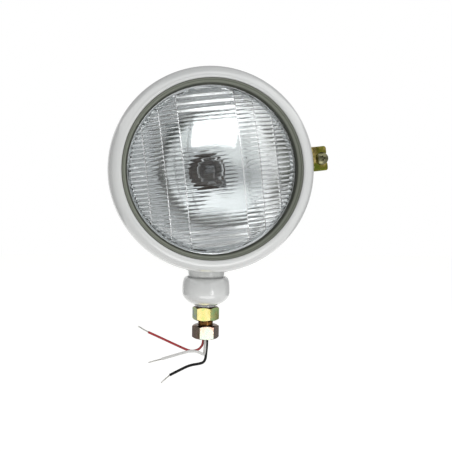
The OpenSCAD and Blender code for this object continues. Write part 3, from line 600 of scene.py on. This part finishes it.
lens = {"bandWidth": 44.0, "columnWidth": 13.8, "flutePitch": 3.3, "fluteDepths": (0.3, 0.5, 0.62),
        "middlePitch": 2.9, "middleDepth": 0.12, "prismPitch": 5.6, "prismDepth": 0.75, "prismFrom": 44.0,
        "seam": 0.35, "seamDepth": 0.7, "rise": 0.25, "fluted": 62.2, "fade": 0.8, "flangeRadius": 69.1,
        "flange": 3.0, "step": 0.27, "cell": 1.6, "rowReach": 61.0, "rows": 330, "domeRings": 24}


def domeCentre():
    return lamp["glassEdge"] - lens["step"] + math.sqrt(lamp["domeRadius"] ** 2 - lamp["glassRadius"] ** 2)


def fluteLift(across, up):
    # How far the inner face stands out of the plain dome at a point, in millimetres
    half = lens["bandWidth"] / 2
    if abs(across) < half:
        if abs(up) > lens["prismFrom"]:
            t = ((abs(up) - lens["prismFrom"]) / lens["prismPitch"]) % 1
            lift = lens["prismDepth"] * (0.5 - 0.5 * math.cos(2 * math.pi * t)) ** 0.8
        else:
            t = (up / lens["middlePitch"]) % 1
            lift = lens["middleDepth"] * math.sin(math.pi * t) ** 0.9
        edge = half - abs(across)
    else:
        t = (up / lens["flutePitch"]) % 1
        number, column = divmod((abs(across) - half) / lens["columnWidth"], 1)
        lift = lens["fluteDepths"][min(2, int(number))] * math.sin(math.pi * t) ** 0.9
        edge = min(column, 1 - column) * lens["columnWidth"]
    if edge < lens["seam"]:
        s = 1 - edge / lens["seam"]
        lift = lift * (1 - s) + lens["seamDepth"] * s
    return lift + lens["rise"]


def flutedFace():
    # A grid over the glass whose rows end on a circle, each vertex set to its depth
    reach = lens["fluted"]
    half, width, seam = lens["bandWidth"] / 2, lens["columnWidth"], lens["seam"]
    lines = []
    for at in [s * (half + k * width) for k in range(3) for s in (-1, 1)]:
        lines += [at + seam * k / 3 for k in range(-3, 4)]
    spots = sorted(lines)
    for a, b in zip([-reach] + spots, spots + [reach]):
        count = max(1, round((b - a) / lens["cell"]))
        lines += [a + (b - a) * k / count for k in range(1, count)]
    lines = sorted(lines + [-reach, reach])
    low, count = lens["rowReach"], lens["rows"]
    rows = [-low + 2 * low * k / count for k in range(count + 1)]
    # Rows near the top and bottom whose ends follow the circle
    ends = [reach * math.sin(math.radians(a)) for a in (90, 88.5, 87, 85.5, 84, 82.5, 81, 79.7)]
    rows = sorted(rows + ends + [-e for e in ends])
    deselect()
    bpy.ops.mesh.primitive_grid_add(x_subdivisions=len(lines) - 1, y_subdivisions=len(rows) - 1,
                                    size=2 * reach * mm)
    piece = namePiece("flutedLens")
    bpy.ops.object.mode_set(mode="EDIT")
    mesh = bmesh.from_edit_mesh(piece.data)
    inner, centre = lamp["domeRadius"] - lamp["glassThickness"], domeCentre()
    for vertex in mesh.verts:
        column = round((vertex.co.x / (reach * mm) + 1) / 2 * (len(lines) - 1))
        up = rows[round((vertex.co.y / (reach * mm) + 1) / 2 * (len(rows) - 1))]
        limit = math.sqrt(max(reach * reach - up * up, 0.0))
        across = max(-limit, min(limit, lines[column]))
        r2 = across * across + up * up
        fade = min(1.0, max(0.0, (reach - math.sqrt(r2)) / lens["fade"]))
        depth = centre - math.sqrt(inner * inner - r2) + fluteLift(across, up) * fade
        vertex.co = Vector((across, depth, lamp["height"] + up)) * mm
    bmesh.update_edit_mesh(piece.data)
    bpy.ops.mesh.select_all(action="SELECT")
    bpy.ops.mesh.remove_doubles(threshold=1e-7)
    return piece


def addLens():
    # The fluted face is extruded at its edge, ring by ring, round the flange and over the plain dome
    piece = flutedFace()
    glass, edge, centre = lamp["glassRadius"], lamp["glassEdge"], domeCentre()
    inner, out, back = lamp["domeRadius"] - lamp["glassThickness"], lens["flangeRadius"], edge + lens["flange"]
    rings = [(r, centre - math.sqrt(inner ** 2 - r ** 2)) for r in (62.7, 63.2)]
    rings += [(63.8, back), (out - 0.3, back), (out, back - 0.3), (out, edge + 0.3), (out - 0.3, edge),
              (glass + 0.02, edge)]
    for k in range(lens["domeRings"], -1, -1):
        r = glass * k / lens["domeRings"]
        rings.append((r, centre - math.sqrt(lamp["domeRadius"] ** 2 - r ** 2)))
    bpy.ops.mesh.select_mode(type="EDGE")
    mesh = bmesh.from_edit_mesh(piece.data)
    for line in mesh.edges:
        line.select = len(line.link_faces) == 1
    bmesh.update_edit_mesh(piece.data)
    for radius, depth in rings:
        bpy.ops.mesh.extrude_edges_move()
        mesh = bmesh.from_edit_mesh(piece.data)
        for vertex in mesh.verts:
            if vertex.select:
                across, up = vertex.co.x, vertex.co.z - lamp["height"] * mm
                share = max(radius, 0.001) * mm / math.hypot(across, up)
                vertex.co = Vector((across * share, depth * mm, lamp["height"] * mm + up * share))
        bmesh.update_edit_mesh(piece.data)
    bpy.ops.mesh.select_mode(type="VERT")
    closeMesh(3e-6)
    smooth(piece, 30)
    turnAroundLamp(piece)
    place(piece, lensGlass, "light_unit", "lens_glass", "lens")


addLens()
print("lens made")

# Swivel cup: a squat pressed barrel whose mouth closes on the neck

cup = {"foot": 7.6, "radius": 19.3, "height": 23.8, "bottom": 10.8, "mouth": 16.0, "shoulder": 0.42,
       "seat": 16.15, "bore": 6.4, "floor": 14.8}


def addCup():
    z, h, belly, bore = cup["bottom"], cup["height"], cup["height"] / 2, cup["bore"]
    mouth, r, foot, seat, ball = cup["mouth"], cup["radius"], cup["foot"], cup["seat"], lamp["ballHeight"]
    shoulder = h * cup["shoulder"]
    lower = arc((0, z + belly), (r, -belly), math.degrees(math.acos(foot / r)), 0, 20)
    upper = arc((mouth + 0.4, z + h - shoulder), (r - mouth - 0.4, shoulder), 0, 84, 14)
    socket = arc((0, ball), (seat, seat), -17, -65, 12)
    outline = [(bore, z), (foot - 0.3, z), (foot, z + 0.25), *lower, *upper, (mouth + 0.1, z + h),
               (mouth - 0.25, z + h - 0.2), *socket, (bore, ball - cup["floor"])]
    piece = spinOutline("pressedCup", closeOutline(outline), 128, upright=True)
    smooth(piece, 38)
    place(piece, paint, "swivel_cup", "grey_paint", "swivel_cup")


addCup()
print("cup made")

# Nuts: two hexagon nuts with rounded-off corners on the stud

nuts = {"acrossFlats": 19.0, "height": 10.8, "bore": 6.06, "faceInset": 0.45, "gap": 4.0}


def addNut(name, low, turn):
    # The prism's upright edges are eased first, then a spun blank rounds off its corners
    high, bore = low + nuts["height"], nuts["bore"]
    corner, face = nuts["acrossFlats"] / math.sqrt(3), nuts["acrossFlats"] / 2 - nuts["faceInset"]
    brim = corner + 0.5
    drop = (brim - face) * math.tan(math.radians(30))
    hexagon = arc((0, 0), (corner, corner), turn, turn + 300, 5)
    piece = pushOutline(name, [(u, v, low) for u, v in hexagon], (0, 0, nuts["height"]))
    soften(piece, 0.25, 3)
    profile = [(bore + 0.6, low), (face, low), (brim, low + drop), (brim, high - drop), (face, high),
               (bore + 0.6, high)]
    blank = [(bore + 0.5, low), *roundCorners(profile, 0.3, 3, False), (bore + 0.5, high), (bore, high - 0.6),
             (bore, low + 0.6)]
    combine(piece, spinOutline("blank", closeOutline(blank), 144, upright=True), "INTERSECT")
    smooth(piece, 24)
    return piece


def tintFacets(piece, tones, turn):
    # Painted light on the facets: a bright tone for the flat in front, as a painted reflection of the front light,
    # a darker one for the other flats, as painted shade, and the dark brown painted shade for the ends and the
    # bore, which lies within 8 mm of the axis
    piece.data.materials.clear()
    for material in tones:
        piece.data.materials.append(material)
    for face in piece.data.polygons:
        n = face.normal
        across = math.degrees(math.atan2(n.x, -n.y)) - turn
        flat = abs((across + 30) % 60 - 30) < 9 and abs(n.z) < 0.2 and Vector(face.center.xy).length > 8 * mm
        face.material_index = 2 if not flat else 0 if abs((across + 180) % 360 - 180) < 20 else 1


# Each nut's front flat gets a painted highlight, its other flats a painted shade and its ends a dark brown painted
# shade
for name, body, low, turn, tones in (
        ("upperNut", "swivel_nut", 0.0, -15.0, (litGoldZinc, shadedGreenZinc, shadedBrownZinc)),
        ("lowerNut", "mounting_nut", -nuts["gap"] - nuts["height"], 0.0, (litPaleZinc, shadedMauveZinc, shadedBrownZinc))):
    piece = addNut(name, low, turn)
    tintFacets(piece, tones, turn)
    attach(piece, body)
    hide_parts(body)
print("nuts made")

# Stud: a hollow threaded bar with a plain length where the bracket sits and a flange inside the ball

stud = {"radius": 6.0, "bore": 3.0, "pitch": 1.75, "depth": 0.56, "threads": ((-15.4, -3.6), (-0.4, 12.6)),
        "rows": (-14.9, 13.0), "top": 36.48, "flange": 3.0, "flangeHeight": 2.4}


def threadDip(part, height, angle):
    # How far the surface lies below the crest at a height and angle
    for low, high in part["threads"]:
        if low < height < high:
            t = (height / part["pitch"] - angle / math.tau) % 1
            rise = abs(2 * t - 1)
            fade = min(1.0, (height - low) / 0.5, (high - height) / 0.5)
            return part["depth"] * fade * (1 - min(1.0, max(0.0, rise * 1.3 - 0.15)))
    return 0.0


def cutThread(piece, part, upright, across=0.0):
    # Draws the wall in along a helix, where the outline left a close row of rings
    deselect()
    bpy.context.view_layer.objects.active = piece
    bpy.ops.object.mode_set(mode="EDIT")
    mesh = bmesh.from_edit_mesh(piece.data)
    for vertex in mesh.verts:
        x, y, z = vertex.co / mm
        u, v, h = (x, y, z) if upright else (x - across, z - lamp["height"], y)
        if abs(math.hypot(u, v) - part["radius"]) < 0.02:
            share = 1 - threadDip(part, h, math.atan2(v, u)) / part["radius"]
            u, v = u * share, v * share
            vertex.co = Vector((u, v, z) if upright else (across + u, y, lamp["height"] + v)) * mm
    bmesh.update_edit_mesh(piece.data)
    bpy.ops.object.mode_set(mode="OBJECT")


def threadRows(part):
    # Eight rings for each turn of the thread, over the length that it is cut in
    low, high = part["rows"]
    count = round((high - low) / part["pitch"] * 8)
    return [(part["radius"], low + (high - low) * i / count) for i in range(count + 1)]


def addStud():
    r, bore, low, top = stud["radius"], stud["bore"], lamp["studBottom"], stud["top"]
    wide, under = r + stud["flange"], top - stud["flangeHeight"]
    outline = [(bore, low + 0.4), (bore + 0.4, low), (r - 0.7, low), (r, low + 0.6), *threadRows(stud), (r, under),
               (wide - 0.3, under), (wide, under + 0.3), (wide, top - 0.3), (wide - 0.3, top), (bore + 0.4, top),
               (bore, top - 0.4)]
    piece = spinOutline("hollowStud", closeOutline(outline), 64, upright=True)
    cutThread(piece, stud, True)
    smooth(piece, 35)
    # The stud takes the dark brown painted shade, as it shows only in the shadow between and under the nuts
    place(piece, shadedBrownZinc, "stud", "yellow_zinc", "hollow_stud")


addStud()
print("stud made")

# Clamp: the forked tab on the rim, the screw with a cross recess, and the hook across from them

tab = {"front": -21.5, "sheet": 1.5, "width": 19.4, "fork": 6.0, "end": 4.2, "corner": 2.2, "legFront": -29.4,
       "bend": 1.6}


def addTab():
    # A plate with a fork, and a leg on the curve of the rim, joined by a bend
    r, t, half, front, up = lamp["rimRadius"], tab["sheet"], tab["width"] / 2, tab["front"], lamp["height"]
    centre, fork, bend, out = lamp["clampRadius"], tab["fork"] / 2, tab["bend"], lamp["rimRadius"] + tab["sheet"]
    end = centre + tab["end"]
    corners = [(r - 0.6, -half), (end, -half), (end, -fork), (centre, -fork)]
    lobe = [corners[0], *roundCorners(corners, tab["corner"], 5, False)[1:-1]]
    outline = [*lobe, *arc((centre, 0), (fork, fork), 270, 90, 12), *((u, -v) for u, v in reversed(lobe))]
    plate = pushOutline("plate", [(u, front, up + v) for u, v in outline], (0, t, 0))
    soften(plate, 0.25)
    spread = math.degrees(math.asin(half / r))
    ring = arc((0, 0), (r - 0.05, r - 0.05), -spread, spread, 16) + arc((0, 0), (out, out), spread, -spread, 16)
    leg = pushOutline("leg", [(u, tab["legFront"], up + v) for u, v in ring],
                      (0, front + t - tab["legFront"] - 0.02, 0))
    soften(leg, 0.25)
    fillet = [(out - 0.7, front + 0.4), (out - 0.7, front - bend),
              *arc((out + bend - 0.35, front - bend), (bend, bend), 180, 90, 6), (out + bend, front + 0.4)]
    seam = pushOutline("seam", [(u - 0.3, v, up - half + 0.3) for u, v in fillet], (0, 0, 2 * half - 0.6))
    joinPieces([plate, leg, seam])
    piece = namePiece("forkedTab")
    smooth(piece, 30)
    turnAroundLamp(piece)
    place(piece, tabZinc, "light_unit", "yellow_zinc", "rim_tab")


screw = {"radius": 2.5, "pitch": 0.8, "depth": 0.3, "threads": ((-17.0, -9.4),), "rows": (-17.1, -9.5),
         "headRadius": 4.9, "headHeight": 3.4, "dome": 7.0, "end": -9.0, "arm": 2.5, "armWidth": 0.55,
         "recess": 2.5, "taper": 0.55}


def addScrew():
    front, across, up = tab["front"], lamp["clampRadius"], lamp["height"]
    head, r = screw["headRadius"], screw["radius"]
    top, dome, end = front - screw["headHeight"], screw["dome"], screw["end"]
    cap = [(u, top + dome - math.sqrt(dome * dome - u * u)) for u in ((head - 0.25) * i / 14 for i in range(15))]
    brim = cap[-1][1]
    outline = [*cap, (head - 0.05, brim + 0.22), (head, brim + 0.5), (head, front - 0.2), (head - 0.2, front),
               (r + 0.1, front), (r, front + 0.1), (r, -17.2), *threadRows(screw), (r - 0.5, end), (0, end)]
    piece = spinOutline("crossScrew", outline, 64, across)
    cutThread(piece, screw, False, across)
    # The cutter for the cross recess gets narrower towards its bottom
    arm, width, taper = screw["arm"], screw["armWidth"], screw["taper"]
    cross = [(arm, width), (width, width), (width, arm), (-width, arm), (-width, width), (-arm, width),
             (-arm, -width), (-width, -width), (-width, -arm), (width, -arm), (width, -width), (arm, -width)]
    cutter = pushOutline("cross", [(across + u, top - 0.6, up + v) for u, v in roundCorners(cross, 0.18, 2)],
                         (0, screw["recess"], 0))
    for vertex in cutter.data.vertices:
        if vertex.co.y > (top + 1) * mm:
            vertex.co.x = across * mm + (vertex.co.x - across * mm) * taper
            vertex.co.z = up * mm + (vertex.co.z - up * mm) * taper
    combine(piece, cutter)
    smooth(piece, 32)
    turnAroundLamp(piece)
    place(piece, screwZinc, "clamp_screw", "yellow_zinc", "clamp_screw")


hook = {"across": -74.8, "depth": -21.6, "radius": 2.9, "width": 12.0, "leg": 6.0}


def addHook():
    across, depth, r, end = hook["across"], hook["depth"], hook["radius"], hook["depth"] - hook["leg"]
    outer, low = r + rim["sheet"], lamp["height"] - hook["width"] / 2
    outline = [*arc((across, depth), (outer, outer), 180, 70, 14), *arc((across, depth), (r, r), 70, 180, 14),
               (across - r, end), (across - outer, end)]
    piece = pushOutline("rimHook", [(u, v, low) for u, v in outline], (0, 0, hook["width"]))
    soften(piece, 0.3)
    smooth(piece, 32)
    turnAroundLamp(piece)
    place(piece, paint, "light_unit", "grey_paint")


addTab()
addScrew()
addHook()
print("clamp and hook made")

# Bowl: a deep pressed dish with a rolled bead at its mouth and a neck that ends in the swivel's ball

bowl = {"radius": 73.8, "front": -19.4, "depth": 66.0, "sheet": 1.2, "beadCentre": 74.8, "beadDepth": -21.6,
        "bead": 2.2, "neck": 14.85, "neckWall": 2.0, "neckTop": 62.0, "hole": 11.04, "slotWidth": 14.0,
        "slotEnd": -15.2, "fillet": 2.4, "steps": 160, "neckSteps": 96}


def bowlOutline(wall):
    size = (bowl["radius"] - wall, bowl["depth"] - wall)
    return [(0, bowl["beadDepth"]), (size[0], bowl["beadDepth"]), *arc((0, bowl["front"]), size, 0, 90, 36)]


def neckOutline(wall):
    r, ball = bowl["neck"] - wall, lamp["ballHeight"]
    return [*arc((0, ball), (r, r), 270, 360, 20), (r, bowl["neckTop"] + wall), (0, bowl["neckTop"] + wall)]


def bowlHeight(x, y):
    # Height of the bowl's outer face under a point beside the stud's axis
    radius = bowl["radius"] * math.sqrt(1 - ((y - bowl["front"]) / bowl["depth"]) ** 2)
    return lamp["height"] - math.sqrt(radius ** 2 - x * x)


def addFillet():
    # A soft weld bead round the foot of the neck, on the curve where the two faces meet
    rings, r, width, count = [], bowl["neck"], bowl["fillet"], bowl["neckSteps"]
    for k in range(count):
        a = math.tau * k / count
        way = Vector((math.cos(a), math.sin(a)))
        inner, outer = way * r, way * (r + width)
        low = Vector((*inner, bowlHeight(*inner) - width))
        meet = Vector((*inner, bowlHeight(*inner)))
        out = Vector((*outer, bowlHeight(*outer)))
        ring = [low * (1 - t) ** 2 + meet * 2 * t * (1 - t) + out * t * t for t in (i / 6 for i in range(7))]
        # Three points inside the walls close the bead
        ring += [out + Vector((0, 0, 0.5)), meet + Vector((-way.x, -way.y, 0.6)) * 0.6,
                 low + Vector((-way.x, -way.y, 0)) * 0.5]
        rings.append(ring)
    around = len(rings[0])
    deselect()
    bpy.ops.mesh.primitive_grid_add(x_subdivisions=count, y_subdivisions=around, size=mm)
    piece = namePiece("weldBead")
    columns = sorted({round(v.co.x * 1e7) for v in piece.data.vertices})
    rows = sorted({round(v.co.y * 1e7) for v in piece.data.vertices})
    for vertex in piece.data.vertices:
        i, j = columns.index(round(vertex.co.x * 1e7)) % count, rows.index(round(vertex.co.y * 1e7)) % around
        vertex.co = rings[i][j] * mm
    bpy.ops.object.mode_set(mode="EDIT")
    closeMesh(1e-6)
    return piece


def addBowl():
    steps, neckSteps, bead = bowl["steps"], bowl["neckSteps"], (bowl["bead"], bowl["bead"])
    piece = spinOutline("pressedBowl", bowlOutline(0), steps)
    combine(piece, spinOutline("neck", neckOutline(0), neckSteps, upright=True), "UNION")
    combine(piece, spinOutline("hollow", bowlOutline(bowl["sheet"]), steps))
    combine(piece, spinOutline("bore", neckOutline(bowl["neckWall"]), neckSteps, upright=True))
    combine(piece, addBar("opening", bowl["hole"], (0, 0, 20), (0, 0, lamp["ballHeight"] - 2), neckSteps))
    # The slot for the hook, cut through the wall with 2 mm to spare on both sides
    left, right, front = -bowl["radius"] - 2, -bowl["radius"] + bowl["sheet"] + 2, bowl["beadDepth"] - 1
    slot = [(left, front), (right, front), (right, bowl["slotEnd"]), (left, bowl["slotEnd"])]
    low = lamp["height"] - bowl["slotWidth"] / 2
    cutter = pushOutline("slot", [(u, v, low) for u, v in slot], (0, 0, bowl["slotWidth"]))
    turnAroundLamp(cutter)
    combine(piece, cutter)
    roll = arc((bowl["beadCentre"], bowl["beadDepth"]), bead, 0, 337.5, 15)
    joinPieces([piece, spinOutline("bead", closeOutline(roll), steps), addFillet()])
    smooth(piece, 34)
    place(piece, paint, "head", "grey_paint", "bowl")


addBowl()
print("bowl made")

# Leads: three of stranded wire in vinyl, that come down the hollow stud and hold the set they were packed in

leads = {"red": {"diameter": 1.9, "material": redLead, "route": [
             (-1.7, 0.9, -15.6), (-1.8, 0.9, -18.6), (-2.8, 1.4, -21.8), (-5.4, 2.2, -24.6), (-9.6, 2.2, -25.7),
             (-14, 0.9, -24.8), (-24, 0, -20.2), (-35, 0, -15.0), (-46.2, 0, -9.8)], "tip": (-54.1, 0, -5.2)},
         "white": {"diameter": 2.1, "material": whiteLead, "route": [
             (-0.3, -1.5, -15.6), (-0.3, -1.5, -18.6), (-0.4, -1.6, -21.4), (-0.6, -2.3, -23.8),
             (-1.0, -3.8, -25.8), (-1.7, -5.8, -26.6), (-2.9, -7.6, -26.2), (-5.0, -8.8, -24.8),
             (-7.5, -9.1, -23.9), (-10.2, -8.7, -23.6), (-14.3, -7.4, -24.1), (-21.0, -5.0, -26.4),
             (-28.2, -2.6, -29.0), (-34.8, -0.6, -31.4)], "tip": (-45.6, 0, -34.3)},
         "black": {"diameter": 2.2, "material": blackLead, "route": [
             (1.5, 0.6, -15.6), (1.3, 0.6, -22), (0.7, 0.4, -28.5), (0.2, 0.3, -32.0), (-1.5, 0, -34.6),
             (-4.9, -0.2, -35.7), (-10, -0.2, -36.5), (-14.5, 0, -37.9), (-19.5, 0, -40.2), (-28.4, 0, -44.6)],
                   "tip": (-35.2, 0, -50.7)}}
strand = {"count": 6, "radius": 0.19, "ring": 0.38, "pitch": 9.0, "tail": 1.5}


def smoothRoute(points, steps):
    # A curve through a list of points, with a few steps for each stretch
    p = [Vector(v) for v in points]
    out, last = [], len(p) - 1
    for i in range(last):
        a, b, c, d = p[max(i - 1, 0)], p[i], p[i + 1], p[min(i + 2, last)]
        for k in range(steps):
            t = k / steps
            out.append(0.5 * (2 * b + (c - a) * t + (2 * a - 5 * b + 4 * c - d) * t * t
                              + (3 * b - a - 3 * c + d) * t ** 3))
    return out + [p[last]]


def addTube(name, points, radius, sides=5):
    # A capped round tube along points, in millimetres
    curve = bpy.data.curves.new(name, "CURVE")
    curve.dimensions, curve.use_fill_caps = "3D", True
    curve.bevel_depth, curve.bevel_resolution = radius * mm, sides
    line = curve.splines.new("POLY")
    line.points.add(len(points) - 1)
    for spot, p in zip(line.points, points):
        spot.co = (*(p * mm), 1)
    piece = bpy.data.objects.new(name, curve)
    bpy.context.scene.collection.objects.link(piece)
    selectPieces([piece])
    bpy.ops.object.convert(target="MESH")
    piece = bpy.context.object
    bpy.ops.object.mode_set(mode="EDIT")
    closeMesh(1e-7)
    smooth(piece, 40)
    return piece


def addCore(name, start, tip):
    # Six wires laid round a seventh, a little open at the tip, that start inside the vinyl
    start, tip = Vector(start), Vector(tip)
    way = (tip - start).normalized()
    side = way.cross(Vector((0, 1, 0))).normalized()
    other = way.cross(side)
    reach, tail = (tip - start).length, strand["tail"]
    wires = [addTube(name, [start - way * tail, tip], strand["radius"], 2)]
    for k in range(strand["count"]):
        points = []
        for i in range(13):
            t = i / 12
            a = math.tau * (k / strand["count"] + t * reach / strand["pitch"])
            ring = strand["ring"] + 0.03 * math.sin(5 * k) * t
            points.append(start - way * tail + way * (reach + tail - 0.2 * (k % 3)) * t
                          + (side * math.cos(a) + other * math.sin(a)) * ring)
        wires.append(addTube("wire", points, strand["radius"], 2))
    return joinPieces(wires)


for key, lead in leads.items():
    line = smoothRoute(lead["route"], 4)
    piece = addTube(key + "Lead", line, lead["diameter"] / 2)
    place(piece, lead["material"], "stud", key + "_pvc", key + "_lead")
    core = addCore(key + "Core", line[-1], lead["tip"])
    place(core, copper, "stud", "copper_strand", *(["lead_cores"] if key == "red" else []))

# Inner leads, from the ball up to the tags

tags = {"depth": 23.64, "drop": 5.3, "at": [(-7, -3), (0, -8), (7, -3)],
        "bore": [(-1.7, 0.9), (-0.3, -1.5), (1.5, 0.6)]}


def addInnerLeads():
    back, ball = tags["depth"], lamp["ballHeight"]
    for (key, lead), (across, up), at in zip(leads.items(), tags["at"], tags["bore"]):
        low = lamp["height"] + up - tags["drop"]
        route = [(at[0], at[1], ball + 0.7), (at[0], at[1], ball + 8), (at[0] * 1.4, at[1] + 1.5, ball + 20),
                 (at[0] * 1.8, back * 0.35 + at[1], ball + 33), (across * 0.7, back * 0.7 + at[1], low - 22),
                 (across, back - 1.5, low - 12), (across, back + 2, low - 5), (across, back + 2.4, low)]
        piece = addTube(key + "InnerLead", smoothRoute(route, 5), lead["diameter"] / 2)
        dress(piece, lead["material"])
        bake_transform(piece)
        if key == "red":
            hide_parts("head_leads")
        line = [Vector((*at, lamp["studBottom"])), Vector((*at, 10)), Vector((*at, ball - 0.7))]
        place(addTube(key + "StudLead", line, lead["diameter"] / 2), lead["material"], "stud", key + "_pvc",
              *(["stud_leads"] if key == "red" else []))


addInnerLeads()
print("inner leads made")

sweep = {"size": 6.0, "height": -0.2, "glow": 0.54}
deselect()
bpy.ops.mesh.primitive_plane_add(size=sweep["size"], location=(0, 0, sweep["height"]))
floor = bpy.context.object
floor.name = "floor"


def floorMaterial():
    # A pale matt sweep that camera, mirror and glass see as white, and that keeps the shadow
    material, tree = newMaterial("paleSweep")
    rays = addNode(tree, "LightPath")
    seen = addNode(tree, "Math", {0: rays.outputs["Is Camera Ray"], 1: rays.outputs["Is Transmission Ray"]},
                   {"operation": "MAXIMUM"})
    seen = addNode(tree, "Math", {0: seen.outputs[0], 1: rays.outputs["Is Glossy Ray"]}, {"operation": "MAXIMUM"})
    matt = addNode(tree, "BsdfDiffuse", {"Color": colour("#F4F4F2")})
    white = addNode(tree, "Emission", {"Color": [1, 1, 1, 1], "Strength": sweep["glow"]})
    both = addNode(tree, "AddShader", {0: matt.outputs[0], 1: white.outputs[0]})
    pick = addNode(tree, "MixShader", {0: seen.outputs[0], 1: matt.outputs[0], 2: both.outputs[0]})
    addNode(tree, "OutputMaterial", {"Surface": pick.outputs[0]})
    return material


dress(floor, floorMaterial())

print("scene finished")
